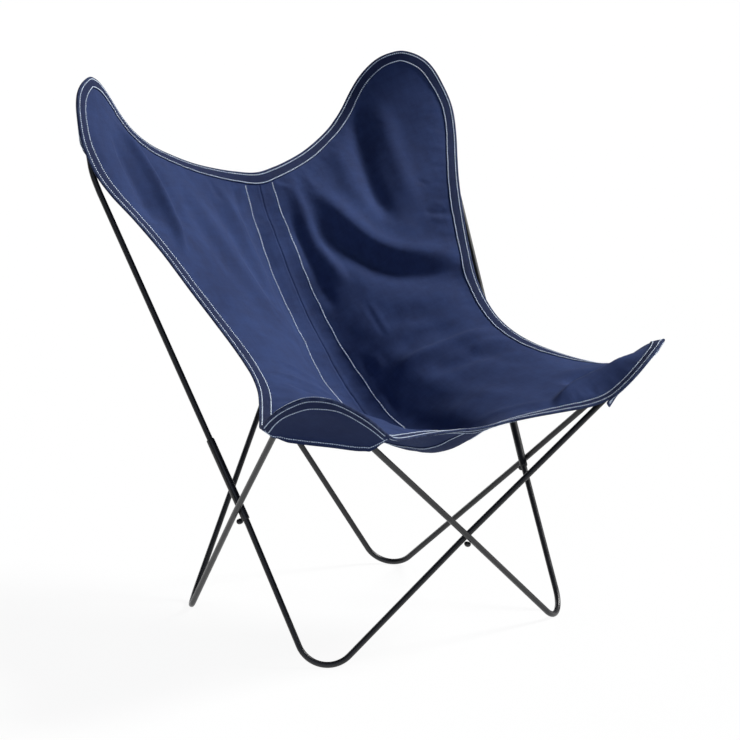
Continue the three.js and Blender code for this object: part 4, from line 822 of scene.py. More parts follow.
# ---------------------------------------------------------------- canvas ----
def shell(flat, faces, low, high, at_low=0.0, at_high=0.0):
    """Closed sheet over flat points: high is the top face, low the underside."""
    flat = np.asarray(flat, float)
    n = len(flat)
    top, _ = on_cloth(flat, high + np.zeros(n) + at_high)
    under, _ = on_cloth(flat, low + np.zeros(n) + at_low)
    faces = np.asarray(faces)
    edges = {}
    for f in faces:
        for a, b in zip(f, np.roll(f, -1)):
            if (b, a) in edges:
                del edges[(b, a)]
            else:
                edges[(a, b)] = 1
    out = [tuple(f + n) for f in faces] + [tuple(f[::-1]) for f in faces]
    out += [(a, b, b + n, a + n) for a, b in edges]
    return np.vstack([under, top]), out, np.vstack([flat, flat]) / 1000.0


def inside_polygon(points, poly):
    x, y = points[:, 0], points[:, 1]
    hit = np.zeros(len(points), bool)
    for (x0, y0), (x1, y1) in zip(poly, np.roll(poly, -1, axis=0)):
        if y0 == y1:
            continue
        k = (y0 > y) != (y1 > y)
        hit ^= k & (x < (x1 - x0) * (y - y0) / (y1 - y0) + x0)
    return hit


def flat_mesh(border, points):
    """Triangles over the area inside a border, through the points."""
    n = len(border)
    verts = [Vector(p) for p in border] + [Vector(p) for p in points]
    edges = [(i, (i + 1) % n) for i in range(n)]
    v, _, f, *_ = delaunay_2d_cdt(verts, edges, [], 1, 1e-5)
    v = np.array([(a.x, a.y) for a in v])
    faces = []
    for t in f:
        a, b, c = (v[i] for i in t)
        ccw = (b[0] - a[0]) * (c[1] - a[1]) - (b[1] - a[1]) * (c[0] - a[0]) > 0
        faces.append(tuple(t) if not ccw else tuple(t[::-1]))
    return v, faces


border_s = np.arange(0, 2 * HALF, 3.1)
border = inside(border_s, 0.6)
pitch = 4.0
hexes = []
for j, q in enumerate(np.arange(-160, 806, pitch * 0.866)):
    hexes.extend((p, q) for p in np.arange(-436 + (pitch / 2 if j % 2 else 0), 437, pitch))
hexes = np.array(hexes)
columns = [0.0, 0.7, 1.5, 3.0, 5.2, 29.2, 30.4, 31.6, 32.8]
keep = np.abs(hexes[:, 0]) > 7.2
keep &= ~((np.abs(hexes[:, 0]) > 27.0) & (np.abs(hexes[:, 0]) < 35.0))
hexes = hexes[keep]
rows_q = np.arange(-2, 766, 2.4)
strips = [(s * c, q + (0.6 if k % 2 else 0.0)) for k, c in enumerate(columns) for s in ((-1, 1) if c else (1,)) for q in rows_q]
inner_points = np.vstack([hexes, np.array(strips)])
tight = inside(border_s, 2.6)
inner_points = inner_points[inside_polygon(inner_points, tight)]
flat, tris = flat_mesh(border, inner_points)

# the two halves meet in a felled seam: a narrow groove with rolled lips
ap = np.abs(flat[:, 0])
groove = 1.15 * np.exp(-(ap / 0.95) ** 2) - 0.42 * np.exp(-((ap - 3.0) / 1.9) ** 2)
row_dip = 0.42 * np.exp(-((ap - seam_row(flat[:, 1], np.sign(flat[:, 0]))) / 1.1) ** 2) * (0.65 + 0.35 * np.cos(2 * math.pi * flat[:, 1] / 6.0))
points, faces, uv = shell(flat, tris, CLOTH_T / 2, -CLOTH_T / 2, at_high=groove + row_dip,
                          at_low=-0.35 * np.exp(-(ap / 1.2) ** 2))
canvas = make("sling_canvas", points, faces, CANVAS, "canvas", uv=uv, crease=60)
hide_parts("sling_panel_left", "sling_panel_right")

# reinforcing band under the seam
band_q = np.arange(16, 750, 3.0)
band_p = np.array([-33.0, -32.2, -30, -26, -21, -15, -9, -4, 0, 4, 9, 15, 21, 26, 30, 32.2, 33.0])
flat_b = np.array([(p, q) for q in band_q for p in band_p])
nb = len(band_p)
quads_b = [(i * nb + j, (i + 1) * nb + j, (i + 1) * nb + j + 1, i * nb + j + 1)
           for i in range(len(band_q) - 1) for j in range(nb - 1)]
dip_b = -0.25 * np.exp(-((np.abs(flat_b[:, 0]) - 31.0) / 1.1) ** 2)
points, faces, uv = shell(flat_b, quads_b, 1.6 + 0.5, 1.6 - 0.5, at_low=dip_b)
seam_band = make("seam_band", points, faces, POCKET_CLOTH, "canvas", uv=uv, crease=60)
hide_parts("centre_seam_band")

# --------------------------------------------------------------- pockets ----
POCKET_T, POCKET_CLEAR = 1.2, 7.9
SPANS = {"ear": (EAR, -205.0, 168.0), "knee": (KNEE, -140.0, 172.0)}
KNEE_OPENING = ((150.0, 65.0), (190.0, -81.0))
WRAP_R = 6.5
HEM_BEND, HEM_R = 15.0, 11.5       # length of the strip that bends away, and its radius


def resample(path, step):
    cum = np.concatenate([[0], np.cumsum(np.linalg.norm(np.diff(path, axis=0), axis=1))])
    x = np.linspace(0, cum[-1], max(2, int(cum[-1] / step) + 1))
    return np.stack([np.interp(x, cum, path[:, k]) for k in range(path.shape[1])], 1)


def quiet(a, times, axis=0):
    """Light smoothing along one axis of a grid, its ends kept."""
    a = np.moveaxis(a.copy(), axis, 0)
    for _ in range(times):
        b = a.copy()
        b[1:-1] = 0.5 * a[1:-1] + 0.25 * (a[:-2] + a[2:])
        a = b
    return np.moveaxis(a, 0, axis)


def base_point(f, h):
    """Point h below the cloth before its creases, on the right half."""
    f = np.atleast_2d(f)
    d = 0.5
    n = unit(np.cross(plate(f + [d, 0]) - plate(f - [d, 0]), plate(f + [0, d]) - plate(f - [0, d])))
    return plate(f) + n * h, n


def grid_normals(P, towards):
    n = unit(np.cross(np.gradient(P, axis=0), np.gradient(P, axis=1)))
    for _ in range(2):
        n = unit(quiet(quiet(n, 1, 0), 1, 1))
    if (n * towards).sum() < 0:
        n = -n
    return n


def ear_grid(rod, n_rows=96, n_cols=46):
    tip, d0, d1 = SPANS["ear"]
    s0, s1 = tip + d0, tip + d1
    a, b = inside(s0, 2)[0], inside(s1, 2)[0]
    rod = resample(rod, 3.0)

    def near(f):
        c, n = base_point(f, 0.0)
        d = rod[None] - c[:, None]
        l2 = (d ** 2).sum(2)
        k = (d * n[:, None]).sum(2)
        flat_d = np.sqrt(np.maximum(l2 - k * k, 0))
        close = l2 < 160 ** 2
        r = np.where(close & (np.abs(k) < 70), flat_d, 1e9)
        j = r.argmin(1)
        rr = np.arange(len(f))
        w = np.where(close, 1 / (flat_d ** 2 + 30) ** 1.5, 0)
        return r[rr, j], k[rr, j], (w * k).sum(1) / np.maximum(w.sum(1), 1e-12)

    cols = np.linspace(0, 1, n_cols)
    flat_, heights = [], []
    G, H, F = [], [], []
    for f in 0.035 + 0.93 * np.linspace(0, 1, n_rows):
        e = inside(s0 + f * (s1 - s0), 1.5)[0]
        o = a + f * (b - a)
        length = np.linalg.norm(o - e)
        g = np.linspace(0, 1, 61)
        r, dep, pla = near(e + g[:, None] * (o - e))
        crest = g[r.argmin()]
        half = 3.5 / length
        crosses = r.min() < 4 and crest - half > 0.08
        if crosses and crest + half < 0.97:
            lo_, hi_ = crest - half, crest + half
            gg = np.array([0, lo_ / 2, lo_, hi_, hi_ + (1 - hi_) / 3, hi_ + 2 * (1 - hi_) / 3, 1])
        else:
            gg = np.arange(7) / 6.0
        r, dep, pla = near(e + gg[:, None] * (o - e))
        over = np.where(crosses & (gg > crest + 0.5 * half),
                        np.maximum(pla, np.where(r < 9, dep, -1e9)) + POCKET_CLEAR,
                        dep + POCKET_CLEAR - 0.9 * np.maximum(0, r - 7))
        h = np.maximum(3.8, over)
        h[0] = 3.8
        G.append(gg)
        H.append(h)
        F.append((e, o))
    G, H = quiet(np.array(G), 3), np.array(H)
    for _ in range(3):
        H = np.maximum(quiet(H, 1), H - 0.4)
    for (e, o), gg, h in zip(F, G, H):
        x = np.interp(cols, gg, h)
        x = np.maximum(np.convolve(np.pad(x, 2, mode="edge"), np.array([1, 2, 3, 2, 1]) / 9.0, "valid"), x - 0.25)
        w = cols * np.linalg.norm(o - e)
        flat_.append(e + cols[:, None] * (o - e))
        # both ends lie close to the sling, so that no corner stands out
        end_f = min(len(heights), n_rows - 1 - len(heights)) / (n_rows - 1)
        x = 3.2 + (x - 3.2) * float(smoothstep(np.array(end_f), 0.0, 0.09))
        heights.append(x - 0.9 - 1.45 * (1 - smoothstep(w, 0, 16)))
    flat_, heights = np.array(flat_), np.array(heights)
    P, n = base_point(flat_.reshape(-1, 2), heights.reshape(-1, 1))
    return P.reshape(n_rows, n_cols, 3), n.reshape(n_rows, n_cols, 3)


def knee_grid(path, tip, front, side_out, n_rows=96, n_cols=46):
    """Cloth drawn tight from the edge of the sling, round the rod, to an opening straight from leg to leg."""
    fl, sl = unit(front - tip), unit(side_out - tip)
    down = unit(fl + sl)
    out = unit(np.cross(fl, sl))
    across_ = np.cross(out, down)
    axes = np.stack([down, across_, out])
    to_plane = lambda p: (p - tip) @ axes.T
    line = to_plane(resample(path, 2.0))
    line = line[(np.abs(line[:, 2]) < 30) & (line[:, 0] < 300)]
    d0, d1 = SPANS["knee"][1:]
    s0, s1 = KNEE + d0, KNEE + d1
    A = to_plane(base_point(inside(s0, 1.5), 2.2)[0])[0]
    B = to_plane(base_point(inside(s1, 1.5), 2.2)[0])[0]
    way = [A, np.array([*KNEE_OPENING[0], WRAP_R]), np.array([*KNEE_OPENING[1], WRAP_R]), B]
    for _ in range(3):
        nxt = [way[0]]
        for i in range(len(way) - 1):
            if i > 0:
                nxt.append(way[i] + 0.16 * (way[i + 1] - way[i]))
            if i < len(way) - 2:
                nxt.append(way[i] + 0.84 * (way[i + 1] - way[i]))
        nxt.append(way[-1])
        way = nxt
    way = np.array(way)
    cum = np.concatenate([[0], np.cumsum(np.linalg.norm(np.diff(way, axis=0), axis=1))])
    # the cloth sags a little between the legs
    g = np.linspace(0, 1, 121)
    P = []
    for f in 0.012 + 0.976 * np.linspace(0, 1, n_rows):
        e = to_plane(base_point(inside(s0 + f * (s1 - s0), 1.5), 1.35)[0])[0]
        o = np.array([np.interp(f * cum[-1], cum, way[:, k]) for k in range(3)])
        xy = e[:2] + g[:, None] * (o - e)[:2]
        d = np.sqrt(((xy[:, None] - line[None, :, :2]) ** 2).sum(2).min(1))
        low = np.where(d < WRAP_R, np.sqrt(np.maximum(WRAP_R ** 2 - d * d, 0)), -1e3)
        low[0] = e[2]
        low[-1] = max(o[2], low[-1])
        hull = []
        for p in zip(g, low):
            while len(hull) > 1 and (hull[-1][1] - hull[-2][1]) * (p[0] - hull[-2][0]) <= (p[1] - hull[-2][1]) * (hull[-1][0] - hull[-2][0]):
                hull.pop()
            hull.append(p)
        hull = np.array(hull)
        # more stations near the edge, where the binding lies on it
        gc = np.linspace(0, 1, n_cols) ** 1.15
        off = np.interp(gc, hull[:, 0], hull[:, 1])
        P.append(np.column_stack([e[:2] + gc[:, None] * (o - e)[:2], off]))
    P = np.array(P)
    P[:, 1:-1, 2] = quiet(quiet(P, 3, 0), 2, 1)[:, 1:-1, 2]
    ext = np.linalg.norm(P[:, -1, :2] - P[:, 0, :2], axis=1)
    u = np.linspace(0, 1, n_cols)[None, :]
    v = np.linspace(0, 1, n_rows)[:, None]
    # slack between the legs, and faint pulls that fan out from the two ends
    belly = np.sin(math.pi * np.clip((v - 0.12) / 0.66, 0, 1)) ** 1.4 * np.sin(math.pi * np.clip((u - 0.30) / 0.78, 0, 1)) ** 1.2
    P[..., 2] -= 2.2 * belly * smoothstep(ext[:, None], 30, 70)
    pull = np.sin(9.0 * v + 5.5 * u) * 0.5 + np.sin(21.0 * v - 8.0 * u + 1.0) * 0.28
    P[..., 2] += 0.55 * pull * smoothstep(u, 0.35, 0.8) * smoothstep(ext[:, None], 20, 50)
    # the hem hangs clear of the rod: the last strip bends away from the plane of the two legs
    seg = np.linalg.norm(np.diff(P, axis=1), axis=2)
    to_open = np.concatenate([np.cumsum(seg[:, ::-1], axis=1)[:, ::-1], np.zeros((len(P), 1))], 1)
    bend = np.clip(HEM_BEND - to_open, 0, None) / HEM_R
    course = P[:, -1:, :2] - P[:, :1, :2]
    course = course / np.linalg.norm(course, axis=2, keepdims=True)
    size = smoothstep(ext, 34.0, 74.0)[:, None]
    flat_part = np.clip(HEM_BEND - to_open, 0, None)
    P[..., :2] += course * ((HEM_R * np.sin(bend) - flat_part) * size)[..., None]
    P[..., 2] += HEM_R * (1 - np.cos(bend)) * size
    W = tip + P @ axes
    return W, grid_normals(W, out)


grids = {}
for side, name in ((-1, "left"), (1, "right")):
    mx = np.array([float(side), 1.0, 1.0])
    ear_rod = (left if side < 0 else right)["ear"] * mx
    owner = right if side < 0 else left
    P, n = ear_grid(ear_rod)
    grids["ear", side] = (P * mx, n * mx)
    P, n = knee_grid(owner["base"] * mx, np.array(KNEE_AT), owner["front"] * mx, owner["side_out"] * mx)
    grids["knee", side] = (P * mx, n * mx)


def solid_sheet(P, n, low, high):
    """Closed sheet from a grid of points and their normals; high is the outer face."""
    nr, nc = P.shape[:2]
    under = (P + n * np.asarray(low)[..., None]).reshape(-1, 3)
    over = (P + n * np.asarray(high)[..., None]).reshape(-1, 3)
    N = nr * nc
    ids = np.arange(N).reshape(nr, nc)
    q = np.stack([ids[:-1, :-1], ids[:-1, 1:], ids[1:, 1:], ids[1:, :-1]], -1).reshape(-1, 4)
    a, b, c = over[q[len(q) // 2, 0]], over[q[len(q) // 2, 1]], over[q[len(q) // 2, 2]]
    if np.dot(np.cross(b - a, c - a), n.reshape(-1, 3)[q[len(q) // 2, 0]]) < 0:
        q = q[:, ::-1]
    faces_ = [tuple(f + N) for f in q] + [tuple(f[::-1]) for f in q]
    edges = {}
    for f in q:
        for s, e in zip(f, np.roll(f, -1)):
            if (e, s) in edges:
                del edges[(e, s)]
            else:
                edges[(s, e)] = 1
    faces_ += [(s + N, s, e, e + N) for s, e in edges]
    return np.vstack([under, over]), faces_


hem_at = {}
for (kind, side), (P, n) in grids.items():
    name = "left" if side < 0 else "right"
    seg = np.linalg.norm(np.diff(P, axis=1), axis=2)
    to_open = np.concatenate([np.cumsum(seg[:, ::-1], axis=1)[:, ::-1], np.zeros((len(P), 1))], 1)
    along_row = np.concatenate([np.zeros((len(P), 1)), np.cumsum(seg, axis=1)], 1)
    # a turned hem is two layers thick, its fold rounded, its stitches pulled in
    hem = 0.8 * (1 - smoothstep(to_open, 8.4, 9.8)) * (0.35 + 0.65 * smoothstep(to_open, -0.2, 1.4))
    dip = 0.30 * np.exp(-((to_open - 6.6) / 1.0) ** 2)
    outer = POCKET_T / 2 + hem - dip
    pts, faces = solid_sheet(P, n, np.full(to_open.shape, -POCKET_T / 2), outer)
    cross = np.linalg.norm(np.diff(P, axis=0), axis=2)
    down_rows = np.concatenate([np.zeros((1, P.shape[1])), np.cumsum(cross, axis=0)], 0)
    uv = np.stack([down_rows, along_row], -1).reshape(-1, 2) / 1000.0
    o = make(f"{kind}_pocket_cloth_{name}", pts, faces, POCKET_CLOTH, "canvas", uv=np.vstack([uv, uv]), crease=55)
    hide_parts(f"{kind}_pocket_{name}")
    pieces[o.name] = o
    hem_at[kind, side] = (P, n, to_open, outer)

# ---------------------------------------------------------- edge binding ----
LEAF = 0.85
TOP_IN, TOP_OUT = 0.95, 1.95
loop_len = 2 * HALF
n_st = int(round(loop_len / 2.4))
st = np.arange(n_st) * loop_len / n_st
pucker_pitch = loop_len / round(loop_len / 6.0)
# across the leaf: from its inner edge out to the fold
across = np.array([20.6, 20.35, 19.7, 19.1, 18.6, 18.1, 17.3, 15.0, 12.0, 9.0, 6.6, 5.0, 4.2, 3.4, 2.2, 1.0, 0.2])
dips = 0.34 * np.exp(-((across - 18.6) / 0.75) ** 2) + 0.34 * np.exp(-((across - 4.2) / 0.75) ** 2)
dips[0] += 0.45
dips[1] += 0.12
puff = 0.34 * np.exp(-((across - 11.4) / 4.8) ** 2) + 0.22 * np.exp(-((across - 1.6) / 1.5) ** 2)
k_ = np.arange(n_st) / n_st * 2 * math.pi
w_wander = 0.45 * np.sin(11 * k_) + 0.3 * np.sin(29 * k_ + 1.3) + 0.2 * np.sin(53 * k_ + 0.4)
phase = np.cos(2 * math.pi * st / pucker_pitch)
soft = 0.14 * np.sin(2 * math.pi * st / 43.0) + 0.10 * np.sin(2 * math.pi * st / 19.7 + 0.7) + 0.09 * np.sin(2 * math.pi * st / 12.9 + 2.0)


def leaf_w(w):
    return w + w_wander * smoothstep(w, 14.0, 20.6)


top_leaf, top_n, low_leaf, low_n = [], [], [], []
for w, d, pf in zip(across, dips, puff):
    h = -(TOP_OUT + pf * (1 - 0.4 * phase) - d * (0.7 + 0.3 * phase) + soft * smoothstep(w, 2, 10) * (1 - smoothstep(w, 16, 20)))
    p, n = on_cloth(inside(st, leaf_w(w)), h)
    top_leaf.append(p)
    top_n.append(-n)
    h = TOP_IN + LEAF + pf * 0.8 * (1 - 0.4 * phase) - d * (0.7 + 0.3 * phase)
    p, n = on_cloth(inside(st, leaf_w(w)), h)
    low_leaf.append(p)
    low_n.append(n)
top_leaf, top_n, low_leaf, low_n = (np.array(x) for x in (top_leaf, top_n, low_leaf, low_n))
# where a pocket is caught in the seam, the lower leaf lies on the pocket
for (kind, side), (P, n) in grids.items():
    tip, d0, d1 = SPANS[kind]
    margin = 0.035 if kind == "ear" else 0.012
    s_here = st if side > 0 else loop_len - st
    f = (s_here - (tip + d0)) / (d1 - d0)
    v = (f - margin) / (1 - 2 * margin)
    k = np.where((v > 0) & (v < 1))[0]
    x = v[k] * (len(P) - 1)
    i = np.clip(np.floor(x).astype(int), 0, len(P) - 2)
    t = (x - i)[:, None, None]
    row = P[i] * (1 - t) + P[i + 1] * t
    nrm = unit(n[i] * (1 - t) + n[i + 1] * t)
    seg = np.linalg.norm(np.diff(row, axis=1), axis=2)
    cum = np.concatenate([np.zeros((len(k), 1)), np.cumsum(seg, axis=1)], 1)
    reach = (d1 - d0)
    near_end = np.minimum(v[k], 1 - v[k]) * reach
    for a, (w, d, pf) in enumerate(zip(across, dips, puff)):
        ww = np.maximum(leaf_w(w)[k] - 1.5, 0.0)
        pos = np.empty((len(k), 3))
        nn = np.empty((len(k), 3))
        for b in range(len(k)):
            for c in range(3):
                pos[b, c] = np.interp(ww[b], cum[b], row[b, :, c])
                nn[b, c] = np.interp(ww[b], cum[b], nrm[b, :, c])
        nn = unit(nn)
        thick = POCKET_T / 2 + 0.25 + LEAF + pf * 0.8 * (1 - 0.4 * phase[k]) - d * (0.7 + 0.3 * phase[k])
        pos = pos + nn * thick[:, None]
        mixw = (smoothstep(near_end, 2.0, 16.0) * np.where(cum[:, -1] > 26.0, 1.0, smoothstep(cum[:, -1], 14.0, 26.0)))[:, None]
        low_leaf[a][k] = low_leaf[a][k] * (1 - mixw) + pos * mixw
        low_n[a][k] = unit(low_n[a][k] * (1 - mixw) + nn * mixw)
smooth_k = np.array([1, 2, 3, 2, 1]) / 9.0


def ring_smooth(a, times=1):
    for _ in range(times):
        a = sum(np.roll(a, s, axis=-2) * w for s, w in zip((-2, -1, 0, 1, 2), smooth_k))
    return a



near_pocket = np.zeros(n_st)
for (kind, side) in grids:
    tip, d0, d1 = SPANS[kind]
    s_here = st if side > 0 else loop_len - st
    near_pocket = np.maximum(near_pocket, smoothstep(s_here, tip + d0 - 14, tip + d0 - 4) * (1 - smoothstep(s_here, tip + d1 + 4, tip + d1 + 14)))
low_leaf = low_leaf * (1 - near_pocket[None, :, None]) + ring_smooth(low_leaf, 2) * near_pocket[None, :, None]
low_n = unit(low_n * (1 - near_pocket[None, :, None]) + ring_smooth(low_n, 2) * near_pocket[None, :, None])
sections = [p for p in top_leaf]
a_end, b_end = top_leaf[-1], low_leaf[-1]
mid = (a_end + b_end) / 2
half_v = (a_end - b_end) / 2
outward = unit((top_leaf[-1] - top_leaf[-4]) + (low_leaf[-1] - low_leaf[-4]))
outward = unit(outward - half_v * ((outward * half_v).sum(1) / np.maximum((half_v ** 2).sum(1), 1e-9))[:, None])
for t in np.linspace(0, math.pi, 9)[1:-1]:
    sections.append(mid + half_v * math.cos(t) + outward * (1.35 * math.sin(t)))
sections += [p for p in low_leaf[::-1]]
inner_w = np.array([20.6, 16.0, 11.0, 6.0, 2.0, 0.9])
for w in inner_w:
    i = int(np.abs(across - w).argmin())
    sections.append(low_leaf[i] - low_n[i] * (LEAF - 0.3 * (w > 20)))
for w in inner_w[::-1]:
    sections.append(on_cloth(inside(st, leaf_w(w)), -TOP_IN * np.ones(n_st))[0])
sections = np.array(sections)
m = len(sections)
prof_v = np.concatenate([across, [-1.0] * 7, -across[::-1], -inner_w, inner_w[::-1]])
pts = sections.transpose(1, 0, 2).reshape(-1, 3)
uvs = np.stack([np.repeat(st, m), np.tile(prof_v, n_st)], 1) / 1000.0
faces = [(i * m + j, i * m + (j + 1) % m, ((i + 1) % n_st) * m + (j + 1) % m, ((i + 1) % n_st) * m + j)
         for i in range(n_st) for j in range(m)]
a, b, c = pts[faces[8 * m + 3][0]], pts[faces[8 * m + 3][1]], pts[faces[8 * m + 3][2]]
if np.dot(np.cross(b - a, c - a), top_n[3][8]) < 0:
    faces = [f[::-1] for f in faces]
binding = make("edge_tape", pts, faces, TAPE, "binding", uv=uvs, crease=70)
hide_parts("edge_binding_left", "edge_binding_right")

# -------------------------------------------------------------- stitches ----
def stitches(name, centres, ups, nodes, length=3.15, pitch=3.6, radius=0.86, seed=0, dive=0.5, closed=False):
    """Separate stitches along a line that lies on the cloth: each rises out of it and dives back."""
    r = np.random.default_rng(seed)
    line = np.asarray(centres, float)
    ups = np.asarray(ups, float)
    if closed:
        line, ups = np.vstack([line, line[:1]]), np.vstack([ups, ups[:1]])
    cum = np.concatenate([[0], np.cumsum(np.linalg.norm(np.diff(line, axis=0), axis=1))])
    total = cum[-1]
    n = int(round(total / pitch)) if closed else int((total - 1.0) // pitch)
    real = total / n if closed else pitch
    starts = np.arange(n) * real + (0.0 if closed else (total - n * real) / 2)
    starts = starts + r.uniform(-0.14, 0.14, n)
    part = np.array([0.0, 0.10, 0.28, 0.5, 0.72, 0.90, 1.0])
    rise = np.array([-1.0, 0.0, 0.8, 1.0, 0.8, 0.0, -1.0])
    thick = np.array([0.62, 0.92, 1.0, 1.04, 1.0, 0.92, 0.62])
    sides = 7
    ang = np.arange(sides) * 2 * math.pi / sides
    pts, faces = [], []
    get = lambda field, x: np.stack([np.interp(x, cum, field[:, k]) for k in range(3)], 1)
    long_ = length * (1 + r.uniform(-0.09, 0.07, n))
    skew = r.uniform(-0.16, 0.16, n)
    for k in range(n):
        x = starts[k] + part * long_[k]
        c, u = get(line, x), unit(get(ups, x))
        t = unit(np.gradient(c, axis=0))
        w = unit(np.cross(t, u))
        c = c + u * (radius * 0.62 * rise[:, None] + (rise[:, None] < 0) * -dive * 0.3) + w * (skew[k] * (part[:, None] - 0.5) * 2)
        rad = radius * thick[:, None, None]
        ring = c[:, None] + rad * (np.cos(ang)[None, :, None] * w[:, None] * 1.08 + np.sin(ang)[None, :, None] * u[:, None] * 0.86)
        b = len(pts) * len(part) * sides
        pts.append(ring.reshape(-1, 3))
        for i in range(len(part) - 1):
            for j in range(sides):
                j2 = (j + 1) % sides
                faces.append((b + i * sides + j, b + i * sides + j2, b + (i + 1) * sides + j2, b + (i + 1) * sides + j))
        faces.append(tuple(b + j for j in range(sides))[::-1])
        last = b + (len(part) - 1) * sides
        faces.append(tuple(last + j for j in range(sides)))
    pts = np.vstack(pts)
    # outward faces: the ring runs from w to u about the tangent
    a, b2, c2 = pts[faces[0][0]], pts[faces[0][1]], pts[faces[0][3]]
    mid = pts[:sides].mean(0)
    if np.dot(np.cross(b2 - a, c2 - a), a - mid) < 0:
        faces = [f[::-1] for f in faces]
    o = make(name, pts, faces, THREAD, "thread")
    if nodes:
        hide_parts(*nodes)
    return o


def on_leaf(w, top):
    """Line on the outside of the binding, w inside the edge, and the way out of it."""
    i = int(np.abs(across - w).argmin())
    return (top_leaf[i], top_n[i]) if top else (low_leaf[i], low_n[i])


for w, label, top_nodes in ((4.2, "outer", ["binding_outer_stitch_left", "binding_outer_stitch_right"]),
                            (18.6, "inner", ["binding_inner_stitch_left", "binding_inner_stitch_right"])):
    for top in (True, False):
        p, n = on_leaf(w, top)
        o = stitches(f"tape_stitches_{label}_{'top' if top else 'under'}", p, n, top_nodes if top else [],
                     seed=int(w) + (0 if top else 50), closed=True)

# rows beside the seam, above and below
rq = np.arange(19.0, 746.0, 1.5)
for side, name in ((-1, "left"), (1, "right")):
    fl = np.stack([side * seam_row(rq, side), rq], 1)
    dip = 0.36 * (0.65 + 0.35 * np.cos(2 * math.pi * rq / 6.0))
    p, n = on_cloth(fl, -CLOTH_T / 2 + dip)
    stitches(f"seam_stitches_{name}", p, -n, [f"centre_stitch_{name}"], seed=11 + side)
    p, n = on_cloth(fl, np.full(len(rq), 2.1 - 0.25))
    stitches(f"seam_stitches_under_{name}", p, n, [], seed=21 + side)

# pocket hems, and the bar tacks that lock both ends of each opening
for (kind, side), (P, n, to_open, outer) in hem_at.items():
    name = "left" if side < 0 else "right"
    face = P + n * outer[..., None]
    line, nrm = [], []
    for i in range(len(P)):
        x = to_open[i][::-1]
        if x.max() < 9.0:
            continue
        line.append([np.interp(6.6, x, face[i, ::-1, k]) for k in range(3)])
        nrm.append([np.interp(6.6, x, n[i, ::-1, k]) for k in range(3)])
    line, nrm = np.array(line), unit(np.array(nrm))
    o = stitches(f"{kind}_pocket_stitches_{name}", line, nrm, [f"{kind}_pocket_stitch_{name}"], seed=31 + side + len(kind))
    for k, i in enumerate((int(0.055 * len(P)), int(0.945 * len(P)))):
        x = to_open[i][::-1]
        t = np.linspace(1.5, min(11.0, x.max() - 1.0), 12)
        bar = np.array([[np.interp(v, x, face[i, ::-1, c]) for c in range(3)] for v in t])
        bn = np.array([[np.interp(v, x, n[i, ::-1, c]) for c in range(3)] for v in t])
        stitches(f"{kind}_bar_tack_{name}_{k}", bar, bn, [], length=1.6, pitch=1.15, radius=0.38, seed=70 + k)
WORLD = 0.06
FLOOR_GLOW, FLOOR_COLOUR, DOME_GLOW = 0.93, 0.06, 1.0
# name, direction it comes from (degrees from +X, degrees up), softness in degrees, strength, colour
LIGHTS = [
    ("key_light", 341.0, 43.0, 16.0, 4.15, (1.0, 0.99, 0.975)),
    ("front_fill", 235.0, 20.0, 40.0, 0.34, (0.80, 0.90, 1.15)),
    ("floor_bounce", 235.0, -35.0, 60.0, 0.90, (0.90, 0.97, 1.08)),
    ("rear_fill", 100.0, 16.0, 50.0, 1.1, (0.97, 0.985, 1.0)),
]
# ---------------------------------------------------------- outline of the flat cloth ---
flat_poly = inside(np.arange(0, 2 * HALF, 2.0), 0.0)
x, y = flat_poly[:, 0], flat_poly[:, 1]
for (kind, side), (P, n) in grids.items():
    name = "left" if side < 0 else "right"

# ------------------------------------------------------- floor and light ----
def studio_surface(name, glow, colour):
    """Pale paper that glows a little, so that it reads evenly white, with faint shadows."""
    m = Nodes(name)
    obj = m.node("ShaderNodeTexCoord").outputs["Object"]
    grain = m.noise(obj, 1.2, 2.0)
    m.link(m.ramp(grain, [(0.3, tuple(0.98 * colour for _ in range(3))), (0.7, (colour, colour, colour))]), m.bsdf.inputs["Base Color"])
    m.bsdf.inputs["Roughness"].default_value = 0.9
    m.bsdf.inputs["Specular IOR Level"].default_value = 0.05
    m.bsdf.inputs["Emission Color"].default_value = (1.0, 1.0, 1.0, 1.0)
    m.bsdf.inputs["Emission Strength"].default_value = glow
    return m.mat


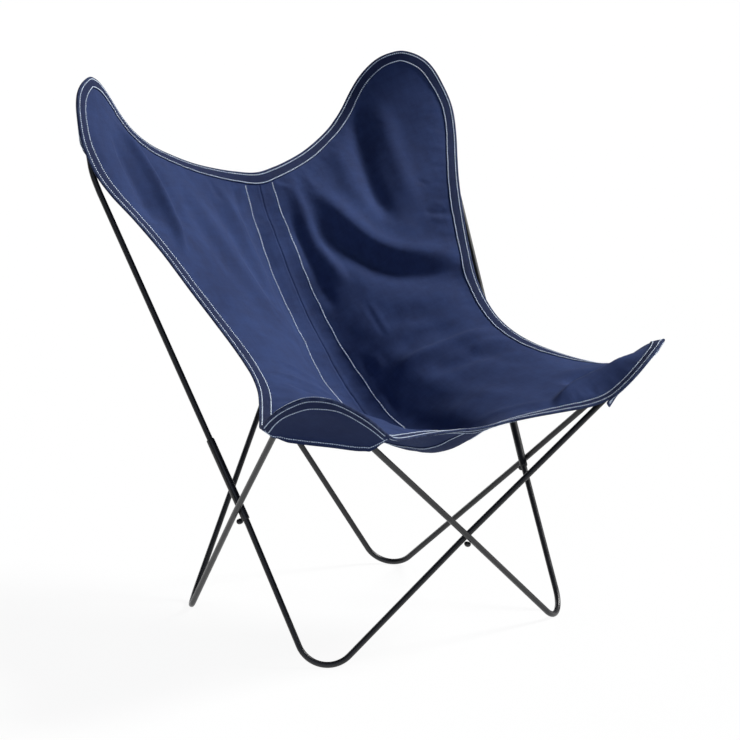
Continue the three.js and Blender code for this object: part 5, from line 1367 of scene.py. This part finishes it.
floor_me = bpy.data.meshes.new("studio_floor")
F, RIM = 14.0, 96
ring = [(F * math.cos(2 * math.pi * k / RIM), F * math.sin(2 * math.pi * k / RIM), 0.0) for k in range(RIM)]
floor_me.from_pydata([(0.0, 0.0, 0.0)] + ring, [], [(0, 1 + k, 1 + (k + 1) % RIM) for k in range(RIM)])
floor = bpy.data.objects.new("studio_floor", floor_me)
bpy.context.scene.collection.objects.link(floor)
floor_me.materials.append(studio_surface("pale_floor", FLOOR_GLOW, FLOOR_COLOUR))
floor.visible_shadow = floor.visible_diffuse = False

# a pale backdrop all round, far behind the floor, seen only by the camera
dome_me = bpy.data.meshes.new("studio_backdrop")
pts, faces = [], []
levels = 14
for i in range(levels):
    t = math.pi / 2 * i / levels
    pts += [(F * math.cos(t) * math.cos(2 * math.pi * k / RIM), F * math.cos(t) * math.sin(2 * math.pi * k / RIM), F * math.sin(t))
            for k in range(RIM)]
pts.append((0.0, 0.0, F))
for i in range(levels - 1):
    faces += [(i * RIM + k, (i + 1) * RIM + k, (i + 1) * RIM + (k + 1) % RIM, i * RIM + (k + 1) % RIM) for k in range(RIM)]
faces += [((levels - 1) * RIM + k, levels * RIM, (levels - 1) * RIM + (k + 1) % RIM) for k in range(RIM)]
dome_me.from_pydata(pts, [], faces)
dome = bpy.data.objects.new("studio_backdrop", dome_me)
bpy.context.scene.collection.objects.link(dome)
dome_me.materials.append(studio_surface("pale_backdrop", DOME_GLOW, 0.0))
dome.visible_shadow = dome.visible_diffuse = dome.visible_glossy = False

world = bpy.data.worlds.new("studio")
bpy.context.scene.world = world
world.use_nodes = True
wb = world.node_tree.nodes["Background"]
wb.inputs["Color"].default_value = (0.80, 0.90, 1.12, 1)
wb.inputs["Strength"].default_value = WORLD

for name, azimuth, height, soft_angle, strength, colour in LIGHTS:
    d = bpy.data.lights.new(name, "SUN")
    d.energy = strength
    d.color = colour
    d.angle = math.radians(soft_angle)
    o = bpy.data.objects.new(name, d)
    bpy.context.scene.collection.objects.link(o)
    a, h = math.radians(azimuth), math.radians(height)
    o.rotation_euler = Vector((math.cos(a) * math.cos(h), math.sin(a) * math.cos(h), math.sin(h))).to_track_quat("Z", "Y").to_euler()

scene = bpy.context.scene
scene.view_settings.view_transform = "Standard"
scene.view_settings.look = "None"
